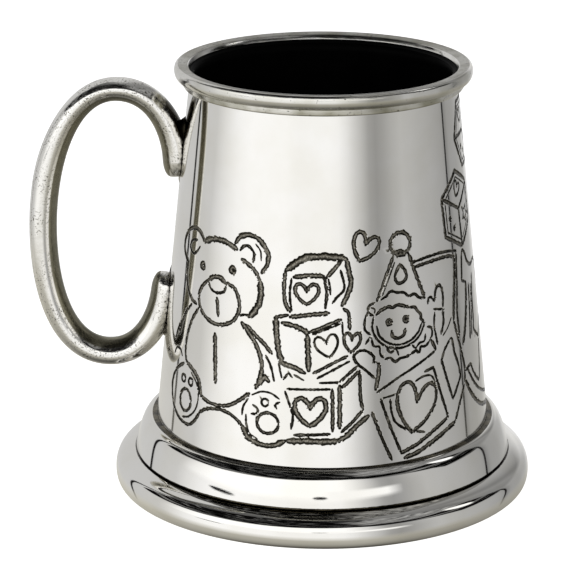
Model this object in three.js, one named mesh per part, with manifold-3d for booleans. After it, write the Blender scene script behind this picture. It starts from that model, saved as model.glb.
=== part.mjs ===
// Half-pint pewter tankard: a soldered sheet body with a cast rim moulding, a two-tier foot
// and a cast C handle. Millimetres, +Z up. The table is z = 0 and the handle points to -X.
// The origin is the middle of the footprint, so the tankard's own axis stands at x = AXIS_X.
import * as THREE from "three";
import { mergeVertices } from "three/addons/utils/BufferGeometryUtils.js";
import Module from "manifold-3d";

// ---- Driving dimensions ------------------------------------------------------------------

const HEIGHT = 96.5; // table to the crest of the rim
const FOOT_RADIUS = 47.45; // widest point of the foot
const GRIP_LINE = 61.75; // tankard axis to the handle's edge line at the grip
const GRIP_DEPTH = 4.4; // edge line to the outer crown of the handle, at the grip
const AXIS_X = (GRIP_LINE + GRIP_DEPTH - FOOT_RADIUS) / 2;

// The body is a straight cone of sheet between these two levels.
const WALL_TOP_Z = 91.7;
const WALL_TOP_RADIUS = 29.8;
const WALL_FOOT_Z = 15.2;
const WALL_FOOT_RADIUS = 37.8;
const WALL_THICKNESS = 0.9;
const WALL_UPPER_EDGE_Z = 94.5; // the sheet runs on inside the rim moulding
const WALL_LOWER_EDGE_Z = 11.2; // and on inside the foot collar
const SEAM_WIDTH = 1.6;

const BEAD_RADIUS = 33.03; // widest point of the rim moulding
const BEAD_WIDEST_Z = 95.05;
const BEAD_UNDER_Z = 93.15; // underside of the bead
const BEAD_UNDER_ARM = 32.5; // arms of the two curves that round the bead
const BEAD_LOWER_ARM_Z = 94;
const BEAD_UPPER_ARM_Z = 96.05;
const CREST_ARM = 32.65;
const CREST_RADIUS = 31.95; // outer edge of the flat crest
const STEP_RADIUS = 31.15; // small step below the bead
const STEP_FILLET = 0.25; // from the step to the start of the bead
const LIP_RADIUS = 29.4; // mouth of the cup

const FLOOR_TOP_Z = 12.5;
const FLOOR_THICKNESS = 1.2;
const FLOOR_BEAD = 1.3; // leg of the solder fillet round the floor

const COLLAR_TOP_RADIUS = 39; // flat top of the foot's upper tier
const COLLAR_RADIUS = 42.7;
const COLLAR_TOP_Z = 15;
const COLLAR_SHOULDER_ARM = 1.85; // flat start of the shoulder
const COLLAR_LEAN = 0.75; // how far its side leans out, from the middle down
const COLLAR_MIDDLE_Z = 11.3;
const CREASE_Z = 7.35; // joint between the two tiers
const CREASE_HALF = 0.25; // half the open crease, at the outside
const JOINT_HALF = 0.15; // half the gap between the two flanges
const SKIRT_TOP_RADIUS = 42.4; // lower tier of the foot
const SKIRT_WIDEST_Z = 2.1;
const SKIRT_SLOPE = [46.15, 6.4]; // arm of the sloping top
const SKIRT_TURN_Z = 5.4; // height of the arm that turns it down
const SOLE_RADIUS = 46.6; // outer edge of the ring that touches the table
const FOOT_LIP_RADIUS = 43.8; // inner edge of the turned-in lip that the tankard stands on
const FOOT_SHEET = 1.1;
const FLANGE_WIDTH = 2.2; // of the flanges that join the two tiers

const CLEARANCE = 0.05; // between neighbours that share the tankard's axis
const SOLDER_GAP = 0.1; // wall to solder pad, and solder pad to handle
const PAD_THICKNESS = 0.35;
const PAD_MARGIN = 1.0; // how far a solder pad shows round a handle end
const COVE_HEIGHT = 0.4; // solder in the corner of body and collar
const COVE_WIDTH = 1.1;
const UPPER_PAD_LEVELS = [66, 84]; // lowest and highest reach of each solder pad
const LOWER_PAD_LEVELS = [28, 52];

// The handle is a rounded D section swept along the line where its sides meet its inner face.
const HANDLE_HALF_WIDTH = 4.0;
const ARCH_DEPTH = 3.4; // edge line to the outer crown over the top of the arch
const INNER_CROWN = 1.85; // edge line to the shallow inner crown
const CROWN_FULLNESS = 1.8;
const WIDEST_SHARE = 0.32; // of the outer depth, where the section is widest
const EDGE_SHARE = 0.84; // of the half width, at the edge line
const TONGUE_LENGTH = 4.2; // rounded end of each handle terminal

// ---- Outline helpers ---------------------------------------------------------------------

const RING_SEGMENTS = 64;
const HANDLE_STEPS = 46;
const taper = (WALL_FOOT_RADIUS - WALL_TOP_RADIUS) / (WALL_TOP_Z - WALL_FOOT_Z);
const wallOuter = (z) => WALL_TOP_RADIUS + (WALL_TOP_Z - z) * taper;
const wallInner = (z) => wallOuter(z) - WALL_THICKNESS;

// Points of an arc about (r, z), angles in degrees from the +r direction.
function arc(r, z, radius, from, to, steps) {
  return Array.from({ length: steps + 1 }, (_, i) => {
    const angle = THREE.MathUtils.degToRad(from + ((to - from) * i) / steps);
    return [r + radius * Math.cos(angle), z + radius * Math.sin(angle)];
  });
}

// Points of a cubic curve, given as [r, z] start, start arm, end arm and end.
function curve(start, startArm, endArm, end, steps) {
  const corners = [start, startArm, endArm, end].map(([r, z]) => new THREE.Vector2(r, z));
  const cubic = new THREE.CubicBezierCurve(...corners);
  return cubic.getPoints(steps).map(({ x, y }) => [x, y]);
}

// A closed ring about the tankard's axis, from [r, z] points. Runs that touch the axis stay open.
function revolve(points, segments = RING_SEGMENTS) {
  const signedArea = points.reduce((sum, [r, z], i) => {
    const [nextR, nextZ] = points[(i + 1) % points.length];
    return sum + r * nextZ - nextR * z;
  }, 0);
  const ordered = signedArea > 0 ? [...points] : [...points].reverse();
  const onAxis = ordered.some(([r]) => r === 0);
  if (!onAxis) ordered.push(ordered[0]);
  const profile = ordered.map(([r, z]) => new THREE.Vector2(r, z));
  return new THREE.LatheGeometry(profile, segments).rotateX(Math.PI / 2);
}

// ---- Booleans ----------------------------------------------------------------------------

const wasm = await Module();
wasm.setup();

function toSolid(geometry) {
  const bare = geometry.clone();
  bare.deleteAttribute("normal");
  bare.deleteAttribute("uv");
  const merged = mergeVertices(bare, 1e-4);
  return new wasm.Manifold(
    new wasm.Mesh({
      numProp: 3,
      vertProperties: merged.attributes.position.array,
      triVerts: new Uint32Array(merged.index.array),
    }),
  );
}

function toGeometry(solid) {
  const mesh = solid.getMesh();
  const geometry = new THREE.BufferGeometry();
  geometry.setAttribute("position", new THREE.BufferAttribute(mesh.vertProperties, 3));
  geometry.setIndex(new THREE.BufferAttribute(mesh.triVerts, 1));
  geometry.computeVertexNormals();
  return geometry;
}

// ---- Rim, body and floor -----------------------------------------------------------------

// Outer line of the rim: from under the bead round its full side to the edge of the crest.
function beadLine() {
  const widest = [BEAD_RADIUS, BEAD_WIDEST_Z];
  const under = [STEP_RADIUS + STEP_FILLET, BEAD_UNDER_Z];
  const crest = [CREST_RADIUS, HEIGHT];
  const lowerArms = [[BEAD_UNDER_ARM, BEAD_UNDER_Z], [BEAD_RADIUS, BEAD_LOWER_ARM_Z]];
  const upperArms = [[BEAD_RADIUS, BEAD_UPPER_ARM_Z], [CREST_ARM, HEIGHT]];
  const steps = 6;
  const lower = curve(under, ...lowerArms, widest, steps);
  const upper = curve(widest, ...upperArms, crest, steps);
  return [...lower, ...upper.slice(1)];
}

// Cast ring soldered round the top of the sheet: a step, a full bead and a flat brushed crest.
function rimMoulding() {
  const seatBottom = wallOuter(WALL_TOP_Z) + CLEARANCE;
  const seatTop = wallOuter(WALL_UPPER_EDGE_Z) + CLEARANCE;
  const overWall = WALL_UPPER_EDGE_Z + CLEARANCE;
  return revolve([
    [seatBottom, WALL_TOP_Z],
    [STEP_RADIUS - 0.2, WALL_TOP_Z],
    [STEP_RADIUS, WALL_TOP_Z + 0.3],
    [STEP_RADIUS, BEAD_UNDER_Z],
    ...beadLine(),
    [LIP_RADIUS + 0.8, HEIGHT],
    [LIP_RADIUS + 0.5, HEIGHT - 0.3],
    [LIP_RADIUS, HEIGHT - 1.5],
    [wallInner(WALL_UPPER_EDGE_Z) + 0.2, overWall + 0.2],
    [wallInner(WALL_UPPER_EDGE_Z) + 0.2, overWall],
    [seatTop, overWall],
  ]);
}

// The rolled sheet, open by one slot behind the handle where its two edges meet.
function bodyWall() {
  const sheet = revolve([
    [wallInner(WALL_LOWER_EDGE_Z), WALL_LOWER_EDGE_Z],
    [wallOuter(WALL_LOWER_EDGE_Z), WALL_LOWER_EDGE_Z],
    [wallOuter(WALL_UPPER_EDGE_Z), WALL_UPPER_EDGE_Z],
    [wallInner(WALL_UPPER_EDGE_Z), WALL_UPPER_EDGE_Z],
  ]);
  const slot = new THREE.BoxGeometry(FOOT_RADIUS, SEAM_WIDTH, 2 * HEIGHT);
  slot.translate(-FOOT_RADIUS / 2 - WALL_THICKNESS, 0, HEIGHT / 2);
  return toGeometry(toSolid(sheet).subtract(toSolid(slot)));
}

// Solder filling that slot, flush with the sheet on both sides.
function sideSeam() {
  const half = SEAM_WIDTH / 2 - CLEARANCE;
  const bottom = WALL_LOWER_EDGE_Z;
  const top = WALL_UPPER_EDGE_Z;
  const outline = new THREE.Shape([
    new THREE.Vector2(-wallOuter(bottom), bottom),
    new THREE.Vector2(-wallInner(bottom), bottom),
    new THREE.Vector2(-wallInner(top), top),
    new THREE.Vector2(-wallOuter(top), top),
  ]);
  const strip = new THREE.ExtrudeGeometry(outline, { depth: 2 * half, bevelEnabled: false });
  return strip.rotateX(Math.PI / 2).translate(0, half, 0);
}

function floorDisc() {
  const bottom = FLOOR_TOP_Z - FLOOR_THICKNESS;
  const edge = wallInner(FLOOR_TOP_Z) - CLEARANCE;
  return revolve([
    [0, bottom],
    [edge, bottom],
    [edge, FLOOR_TOP_Z],
    [0, FLOOR_TOP_Z],
  ]);
}

// Concave solder fillet in the inner corner of floor and wall.
function floorSolder() {
  const z = FLOOR_TOP_Z + CLEARANCE;
  const top = z + FLOOR_BEAD;
  const r = wallInner(z) - CLEARANCE;
  return revolve([
    [r, z],
    [wallInner(top) - CLEARANCE, top],
    ...arc(r - FLOOR_BEAD, top, FLOOR_BEAD * 0.85, -20, -70, 3),
    [r - FLOOR_BEAD, z],
  ]);
}

// ---- Foot --------------------------------------------------------------------------------

// Outer line of the upper tier: a tight shoulder, then a side that leans out to the crease.
function collarLine(inset, steps) {
  const top = COLLAR_TOP_Z - inset;
  const side = COLLAR_RADIUS - inset;
  const foot = CREASE_Z + CREASE_HALF;
  const shoulder = [COLLAR_TOP_RADIUS + COLLAR_SHOULDER_ARM - inset, top];
  const flank = [side - COLLAR_LEAN, COLLAR_MIDDLE_Z];
  return curve([COLLAR_TOP_RADIUS, top], shoulder, flank, [side, foot], steps);
}

// Outer line of the lower tier: a broad sloping top that turns down sharply to the table.
function skirtLine(inset, steps) {
  const top = CREASE_Z - CREASE_HALF - inset;
  const side = FOOT_RADIUS - inset;
  const slope = [SKIRT_SLOPE[0] - inset, SKIRT_SLOPE[1] - inset];
  const turn = [side, SKIRT_TURN_Z - inset];
  return curve([SKIRT_TOP_RADIUS, top], slope, turn, [side, SKIRT_WIDEST_Z], steps);
}

// Upper tier: a collar that the body stands in, with a flange turned in below.
function footCollar() {
  const flangeZ = CREASE_Z + JOINT_HALF;
  const seat = wallOuter(COLLAR_TOP_Z) + CLEARANCE;
  const flangeRadius = COLLAR_RADIUS - FLANGE_WIDTH;
  return revolve([
    [seat, COLLAR_TOP_Z],
    ...collarLine(0, 10),
    [COLLAR_RADIUS - 0.2, flangeZ],
    [flangeRadius, flangeZ],
    [flangeRadius, flangeZ + FOOT_SHEET],
    [COLLAR_RADIUS - 1.5 * FOOT_SHEET, flangeZ + FOOT_SHEET],
    ...collarLine(FOOT_SHEET, 5).reverse().slice(1),
    [wallOuter(COLLAR_TOP_Z - FOOT_SHEET) + CLEARANCE, COLLAR_TOP_Z - FOOT_SHEET],
  ]);
}

// Lower tier: a wider skirt with a flange at the crease and a turned-in lip on the table.
function footSkirt() {
  const flangeZ = CREASE_Z - JOINT_HALF;
  const flangeRadius = COLLAR_RADIUS - FLANGE_WIDTH;
  return revolve([
    [flangeRadius, flangeZ],
    [SKIRT_TOP_RADIUS - 0.4, flangeZ],
    ...skirtLine(0, 10),
    [FOOT_RADIUS - 0.07, 1.2],
    [FOOT_RADIUS - 0.35, 0.5],
    [SOLE_RADIUS, 0],
    [FOOT_LIP_RADIUS, 0],
    [FOOT_LIP_RADIUS, FOOT_SHEET],
    [SOLE_RADIUS - FOOT_SHEET, FOOT_SHEET],
    ...skirtLine(FOOT_SHEET, 5).reverse(),
    [flangeRadius, flangeZ - FOOT_SHEET],
  ]);
}

// Cove of solder where the body meets the top of the collar.
function collarSolder() {
  const bottom = COLLAR_TOP_Z + CLEARANCE;
  const top = bottom + COVE_HEIGHT;
  const edge = wallOuter(bottom) + COVE_WIDTH;
  return revolve([
    [wallOuter(bottom) + CLEARANCE, bottom],
    [edge, bottom],
    [edge - COVE_WIDTH / 2, bottom + COVE_HEIGHT / 5],
    [wallOuter(top) + COVE_WIDTH / 4, bottom + COVE_HEIGHT / 2],
    [wallOuter(top) + CLEARANCE, top],
  ]);
}

// Film of solder between the flanges of the two tiers, seen as the line in the crease.
function tierSolder() {
  const inner = COLLAR_RADIUS - FLANGE_WIDTH + 0.2;
  const outer = COLLAR_RADIUS - 0.25;
  const half = JOINT_HALF - CLEARANCE;
  return revolve([
    [inner, CREASE_Z - half],
    [outer, CREASE_Z - half],
    [outer, CREASE_Z + half],
    [inner, CREASE_Z + half],
  ]);
}

// ---- Handle ------------------------------------------------------------------------------

// Line of the handle's inner edges in the plane y = 0: key points, each with its direction,
// and the lengths of the curve's arms on either side of them.
function handlePath() {
  const upperEnd = new THREE.Vector3(-34, 0, 70.2);
  const upperBend = new THREE.Vector3(-34, 0, 73.2);
  const arch = new THREE.Vector3(-46.1, 0, 89.4);
  const grip = new THREE.Vector3(-GRIP_LINE, 0, 57);
  const sole = new THREE.Vector3(-48.3, 0, 30.3);
  const lowerBend = new THREE.Vector3(-36.9, 0, 45);
  const lowerEnd = new THREE.Vector3(-36.6, 0, 48);
  const shifted = (point, x, z) => new THREE.Vector3(point.x + x, 0, point.z + z);
  const path = new THREE.CurvePath();
  const join = (a, b, c, d) => path.add(new THREE.CubicBezierCurve3(a, b, c, d));
  path.add(new THREE.LineCurve3(upperEnd, upperBend));
  join(upperBend, shifted(upperBend, 0, 7.5), shifted(arch, 8.4, 0), arch);
  join(arch, shifted(arch, -10.5, 0), shifted(grip, 0, 15.3), grip);
  join(grip, shifted(grip, 0, -14.4), shifted(sole, -9.3, 0), sole);
  join(sole, shifted(sole, 7.4, 0), shifted(lowerBend, -0.65, -6.5), lowerBend);
  path.add(new THREE.LineCurve3(lowerBend, lowerEnd));
  return path;
}

// Half of the section as [sideways, outwards] points: from the crown out to the widest point,
// then a little back in to the edge line.
function sectionSide(halfWidth, outerDepth) {
  const crownSteps = 5;
  const flankSteps = 2;
  const widest = WIDEST_SHARE * outerDepth;
  const power = 2 / CROWN_FULLNESS;
  const crown = Array.from({ length: crownSteps + 1 }, (_, i) => {
    const angle = (Math.PI / 2) * (i / crownSteps);
    const rise = (outerDepth - widest) * Math.cos(angle) ** power;
    return [halfWidth * Math.sin(angle) ** power, widest + rise];
  });
  const flank = Array.from({ length: flankSteps }, (_, i) => {
    const share = (i + 1) / flankSteps;
    return [halfWidth * (1 - (1 - EDGE_SHARE) * share ** 2), widest * (1 - share)];
  });
  return [...crown, ...flank];
}

// Rounded D section: a deep outer crown and a shallow inner one.
function handleSection(halfWidth, outerDepth, innerDepth) {
  const innerSteps = 4;
  const left = sectionSide(halfWidth, outerDepth);
  const right = left.slice(1).map(([across, out]) => [-across, out]);
  const inner = Array.from({ length: innerSteps - 1 }, (_, i) => {
    const across = -1 + (2 * (i + 1)) / innerSteps;
    return [EDGE_SHARE * halfWidth * across, -innerDepth * (1 - across * across)];
  });
  return [...left.reverse(), ...right, ...inner];
}

// Depth of the outer crown along the path: slimmer over the arch than at the grip.
function crownDepth(share) {
  const archShare = 0.24;
  const archReach = 0.2;
  const away = Math.min(1, Math.abs(share - archShare) / archReach);
  return GRIP_DEPTH - (GRIP_DEPTH - ARCH_DEPTH) * Math.cos((Math.PI / 2) * away) ** 2;
}

// Joins rings of equal length into one closed skin with a flat fan over each end.
function loft(rings) {
  const count = rings[0].length;
  const positions = rings.flat().flatMap((p) => [p.x, p.y, p.z]);
  const faces = [];
  for (let ring = 0; ring < rings.length - 1; ring++) {
    for (let i = 0; i < count; i++) {
      const a = ring * count + i;
      const b = ring * count + ((i + 1) % count);
      faces.push(a, b, b + count, a, b + count, a + count);
    }
  }
  for (let i = 1; i < count - 1; i++) {
    const last = (rings.length - 1) * count;
    faces.push(0, i + 1, i);
    faces.push(last, last + i, last + i + 1);
  }
  const geometry = new THREE.BufferGeometry();
  geometry.setAttribute("position", new THREE.Float32BufferAttribute(positions, 3));
  geometry.setIndex(faces);
  return geometry;
}

// The D section swept along the whole path. Margin makes it fatter all round.
function handleSweep(margin = 0) {
  const path = handlePath();
  const length = path.getLength();
  const sideways = new THREE.Vector3(0, -1, 0);
  const rings = [];
  const tongue = TONGUE_LENGTH / length;
  const endShares = [0, 0.012, 0.05, 0.12, 0.24, 0.45, 0.7].map((s) => s * tongue);
  const inside = Array.from({ length: HANDLE_STEPS + 1 }, (_, i) => {
    return tongue + (i / HANDLE_STEPS) * (1 - 2 * tongue);
  });
  const shares = [...endShares, ...inside, ...endShares.map((s) => 1 - s).reverse()];
  for (const share of shares) {
    const tangent = path.getTangentAt(share);
    const outwards = new THREE.Vector3().crossVectors(tangent, sideways);
    const fromEnd = Math.min(share, 1 - share) / tongue;
    const rounding = fromEnd < 1 ? Math.sqrt(Math.max(0.004, 1 - (1 - fromEnd) ** 2)) : 1;
    const halfWidth = HANDLE_HALF_WIDTH * rounding + margin;
    const outerDepth = crownDepth(share) + margin;
    const innerDepth = INNER_CROWN * Math.min(1, rounding * 1.1) + margin;
    const centre = path.getPointAt(share);
    rings.push(
      handleSection(halfWidth, outerDepth, innerDepth).map(([across, out]) =>
        centre.clone().addScaledVector(sideways, across).addScaledVector(outwards, out),
      ),
    );
  }
  return toSolid(loft(rings));
}

// Everything inside a cone that stands off the outside of the wall.
function wallEnvelope(offset) {
  const bottom = 5;
  const top = 92;
  return toSolid(
    revolve([
      [0, bottom],
      [wallOuter(bottom) + offset, bottom],
      [wallOuter(top) + offset, top],
      [0, top],
    ]),
  );
}

// The casting, with both ends filed to the curve of the wall.
function handle() {
  const stand = 2 * SOLDER_GAP + PAD_THICKNESS;
  return toGeometry(handleSweep().subtract(wallEnvelope(stand)));
}

// Solder pad between the wall and one end of the handle, showing a little all round it.
function handleSolder([lowest, highest]) {
  const size = 30;
  const block = new THREE.BoxGeometry(size, size, highest - lowest);
  block.translate(-WALL_TOP_RADIUS - size / 3, 0, (lowest + highest) / 2);
  const shell = wallEnvelope(SOLDER_GAP + PAD_THICKNESS).subtract(wallEnvelope(SOLDER_GAP));
  const tongue = handleSweep(PAD_MARGIN);
  return toGeometry(tongue.intersect(shell).intersect(toSolid(block)));
}

// ---- Assembly ----------------------------------------------------------------------------

const pewter = (color, roughness) =>
  new THREE.MeshStandardMaterial({ color, roughness, metalness: 1 });
const polished = pewter(0xd9d8d2, 0.08);
const brushed = pewter(0xc4c3bd, 0.3);
const cast = pewter(0xcfcdc4, 0.22);
const oxidised = pewter(0x3a3835, 0.5);
const solder = pewter(0xaaa89f, 0.35);

const tankard = new THREE.Group();
tankard.position.x = AXIS_X;

function add(name, geometry, material) {
  const mesh = new THREE.Mesh(geometry, material);
  mesh.name = name;
  tankard.add(mesh);
}

add("rim_moulding", rimMoulding(), brushed);
add("body_wall", bodyWall(), polished);
add("side_seam", sideSeam(), solder);
add("floor_disc", floorDisc(), oxidised);
add("floor_solder", floorSolder(), oxidised);
add("collar_solder", collarSolder(), solder);
add("foot_collar", footCollar(), polished);
add("tier_solder", tierSolder(), solder);
add("foot_skirt", footSkirt(), polished);
add("handle", handle(), cast);
add("upper_handle_solder", handleSolder(UPPER_PAD_LEVELS), solder);
add("lower_handle_solder", handleSolder(LOWER_PAD_LEVELS), solder);

const part = new THREE.Group();
part.add(tankard);

export default part;
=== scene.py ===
"""Half-pint pewter tankard engraved with a nursery frieze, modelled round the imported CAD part.

Lengths in the shape code are millimetres about the tankard's own axis; stand() turns them into
metres in the row frame. The frieze is drawn on the unrolled wall as (s, z): s is the way round
from the front, measured on a cylinder of radius SHEET_RADIUS, and z is the height.
"""

import math

import bpy
import numpy as np
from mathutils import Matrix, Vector, kdtree, noise
from mathutils.geometry import delaunay_2d_cdt


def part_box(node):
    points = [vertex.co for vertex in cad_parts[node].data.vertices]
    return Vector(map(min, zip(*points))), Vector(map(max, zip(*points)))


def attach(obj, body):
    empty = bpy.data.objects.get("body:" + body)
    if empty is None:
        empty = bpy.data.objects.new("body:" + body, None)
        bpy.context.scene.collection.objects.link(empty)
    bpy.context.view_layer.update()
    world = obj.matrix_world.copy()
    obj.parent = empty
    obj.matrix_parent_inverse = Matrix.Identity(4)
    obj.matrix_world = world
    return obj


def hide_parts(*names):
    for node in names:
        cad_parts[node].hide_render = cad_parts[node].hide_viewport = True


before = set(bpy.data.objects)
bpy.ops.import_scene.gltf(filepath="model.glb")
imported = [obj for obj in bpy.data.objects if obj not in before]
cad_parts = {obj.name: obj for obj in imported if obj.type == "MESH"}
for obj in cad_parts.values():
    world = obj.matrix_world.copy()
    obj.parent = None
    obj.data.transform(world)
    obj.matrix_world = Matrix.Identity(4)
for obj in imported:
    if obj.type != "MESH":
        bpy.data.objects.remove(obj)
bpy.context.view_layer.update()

# ---- Shared sizes ------------------------------------------------------------------------

rim_low, rim_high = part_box("rim_moulding")
AXIS_X = 500 * (rim_low.x + rim_high.x)
HEIGHT = 1000 * rim_high.z
WALL_TOP_Z = 91.7
WALL_TOP_RADIUS = 29.8
WALL_TAPER = 8.0 / 76.5
WALL_THICKNESS = 0.9
WALL_LOWER_EDGE_Z = 11.2
WALL_UPPER_EDGE_Z = 94.5
SEAM_HALF_WIDTH = 0.8
SHEET_RADIUS = 34.0
SHEET_TURN = 2 * math.pi * SHEET_RADIUS
HANDLE_S = -SHEET_RADIUS * math.pi / 2
ROUND_STEPS = 256


def wall_radius(z):
    return WALL_TOP_RADIUS + (WALL_TOP_Z - z) * WALL_TAPER


def stand(x, y, z):
    """Millimetres about the tankard's axis to metres in the row frame."""
    return ((x + AXIS_X) / 1000, y / 1000, z / 1000)


def fade(value, full, none):
    """1 at full and beyond, 0 at none, straight between."""
    return min(1.0, max(0.0, (value - none) / (full - none)))


# ---- Shader values -----------------------------------------------------------------------


def make(tree, kind, inputs=None, output=0, **settings):
    """Adds a shader node and gives one of its outputs. Inputs are values, numbers or colours."""
    node = tree.nodes.new("ShaderNode" + kind)
    for key, value in settings.items():
        setattr(node, key, value)
    for key, value in (inputs or {}).items():
        if isinstance(value, Value):
            tree.links.new(value.socket, node.inputs[key])
        else:
            node.inputs[key].default_value = value
    return Value(node.outputs[output])


class Value:
    """The output of a shader node, so that nodes can be written as sums."""

    def __init__(self, socket):
        self.socket = socket
        self.tree = socket.id_data

    def math(self, operation, other=0.0):
        return make(self.tree, "Math", {0: self, 1: other}, operation=operation)

    def __add__(self, other):
        return self.math("ADD", other)

    def __sub__(self, other):
        return self.math("SUBTRACT", other)

    def __mul__(self, other):
        return self.math("MULTIPLY", other)

    def __truediv__(self, other):
        return self.math("DIVIDE", other)

    def tint(self, factors):
        """Each channel times its own factor."""
        return make(self.tree, "VectorMath", {0: self, 1: factors}, operation="MULTIPLY")

    def spread(self, from_low, from_high, to_low=0, to_high=1):
        """Maps the value from one range to another and holds it there."""
        inputs = {"Value": self, "From Min": from_low, "From Max": from_high}
        inputs.update({"To Min": to_low, "To Max": to_high})
        return make(self.tree, "MapRange", inputs, clamp=True)

    def mix(self, low, high):
        """Colour low where the value is 0 and colour high where it is 1."""
        return make(self.tree, "Mix", {"Factor": self, 6: low, 7: high}, 2, data_type="RGBA")

    def ramp(self, stops, scaled=float):
        """Grey by position: stops are (position, level) and scaled turns a level linear."""
        first, last = stops[0][0], stops[-1][0]
        grades = make(self.tree, "ValToRGB", {0: self.spread(first, last)})
        elements = grades.socket.node.color_ramp.elements
        while len(elements) < len(stops):
            elements.new(1.0)
        for element, (position, level) in zip(elements, stops):
            element.position = (position - first) / (last - first)
            element.color = grey(scaled(level))
        return grades

    def speckle(self, scale, detail=2.0, roughness=0.5):
        """Soft noise over these coordinates."""
        inputs = {"Vector": self, "Scale": scale, "Detail": detail, "Roughness": roughness}
        return make(self.tree, "TexNoise", inputs)

    def bump(self, strength, distance):
        inputs = {"Height": self, "Strength": strength, "Distance": distance}
        return make(self.tree, "Bump", inputs)


def parts(vector):
    """The x, y and z of a vector."""
    split = make(vector.tree, "SeparateXYZ", {0: vector})
    return [Value(output) for output in split.socket.node.outputs]


def join(x, y, z=0.0):
    return make(x.tree, "CombineXYZ", {0: x, 1: y, 2: z})


def grey(level):
    return (level, level, level, 1.0)


# ---- Materials ---------------------------------------------------------------------------

PEWTER = (0.80, 0.79, 0.765, 1.0)
PEWTER_WARM = (0.76, 0.745, 0.70, 1.0)
# Black patina of the engraving, also painted on the rim's lip as shade.
PATINA_AND_SHADE_BLACK = (0.014, 0.013, 0.010, 1.0)
PATINA_BROWN = (0.062, 0.056, 0.042, 1.0)
PATINA_LIGHT = (0.34, 0.32, 0.27, 1.0)
SHADED_OLIVE = (0.30, 0.285, 0.215, 1.0)
# Painted shade on the handle's inside face.
SHADED_OLIVE_DARK = (0.16, 0.15, 0.11, 1.0)
PIT_DARK = (0.05, 0.046, 0.036, 1.0)
PIT_GREY = (0.16, 0.15, 0.12, 1.0)
# Painted shade in corners and where parts meet, with old polish.
SHADE_AND_DIRT_BROWN = (0.030, 0.026, 0.017, 1.0)
# Painted shade on the rim's crest, bead and step.
RIM_SHADE = (0.05, 0.047, 0.036, 1.0)
# Painted shade: the inside of the cup, near black.
INSIDE_BLACK = (0.0004, 0.0004, 0.0005, 1.0)
INSIDE_BLOOM = (0.0016, 0.0016, 0.0015, 1.0)


def blank_material(name):
    """A new material, its surface point in millimetres in the row frame, and its shader."""
    material = bpy.data.materials.new(name)
    material.use_nodes = True
    tree = material.node_tree
    place = make(tree, "TexCoord", output="Object")
    place = make(tree, "VectorMath", {0: place, "Scale": 1000.0}, operation="SCALE")
    return material, place, tree.nodes["Principled BSDF"]


def finish(shader, colour, roughness, normal, metallic=1.0):
    for name, value in (("Base Color", colour), ("Roughness", roughness), ("Normal", normal)):
        value.tree.links.new(value.socket, shader.inputs[name])
    shader.inputs["Metallic"].default_value = metallic


def turned(place, round_scale, up_scale):
    """Coordinates that run round the tankard's axis, for marks left by turning and polishing."""
    x, y, z = parts(place)
    across = x - AXIS_X
    angle = y.math("ARCTAN2", across)
    radius = (across * across + y * y).math("SQRT")
    return join(angle * round_scale, radius * up_scale, z * up_scale)


def stored(place, name):
    """One of two measures stored on the mesh, 0 to 1, nothing where not stored: the engraving's patina
    with painted shade on the rim and handle, and painted shade with old polish in corners and where
    parts meet.
    """
    return make(place.tree, "Attribute", output="Fac", attribute_name=name)


def add_dirt(place, colour):
    """Painted shade in corners and where parts meet, with old polish, ragged at its edge."""
    cover = stored(place, "dirt") + place.speckle(1.1, 3.0) * 0.6
    return cover.spread(0.62, 0.85).mix(colour, SHADE_AND_DIRT_BROWN)


def polished_pewter(name):
    """Mirror polish with a faint cloudiness. Where the engraving's measure is 1 the metal is the black
    edge of an engraved cut, and at 0.8 its brown core, roughened across by the graver."""
    material, place, shader = blank_material(name)
    colour = place.speckle(0.09, 3.0).spread(0.35, 0.65).mix(PEWTER, PEWTER_WARM)
    tarnish = stored(place, "tarnish")
    cover = tarnish.spread(0.5, 0.7)
    core = place.speckle(3.2, 3.0, 0.6).spread(0.38, 0.64).mix(PATINA_LIGHT, PATINA_BROWN)
    wear = place.speckle(0.45, 2.0).spread(0.56, 0.66, 0, 0.55)
    stain = wear.mix(tarnish.spread(0.81, 0.91).mix(core, PATINA_AND_SHADE_BLACK), core)
    gloss = place.speckle(0.6, 3.0).spread(0.3, 0.7, 0.03, 0.055) + cover * 0.26
    lines = turned(place, 3.0, 9.0).speckle(1.0, 3.0)
    # This also paints the foot's crease darker as shade, and darkens the wall beside the handle's ends.
    finish(shader, add_dirt(place, cover.mix(colour, stain)), gloss, lines.bump(0.05, 0.00002))
    return material


def brushed_pewter(name, clean, olive, shade_dark, smooth, rough, pitted=0.62):
    """Cast ring brushed round the axis and partly gone olive, with casting pits. Where the mesh is
    marked for shade, the metal is painted darker."""
    material, place, shader = blank_material(name)
    brushing = turned(place, 5.0, 14.0).speckle(1.0, 4.0, 0.6)
    pits = place.speckle(1.8, 2.0).spread(pitted, pitted + 0.08)
    colour = place.speckle(0.12, 2.0).spread(0.4, 0.65).mix(clean, olive)
    colour = stored(place, "tarnish").mix(pits.mix(colour, PIT_DARK), shade_dark)
    height = brushing - pits * 1.5
    finish(shader, colour, brushing.spread(0.3, 0.7, smooth, rough), height.bump(0.2, 0.00006))
    return material


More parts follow.
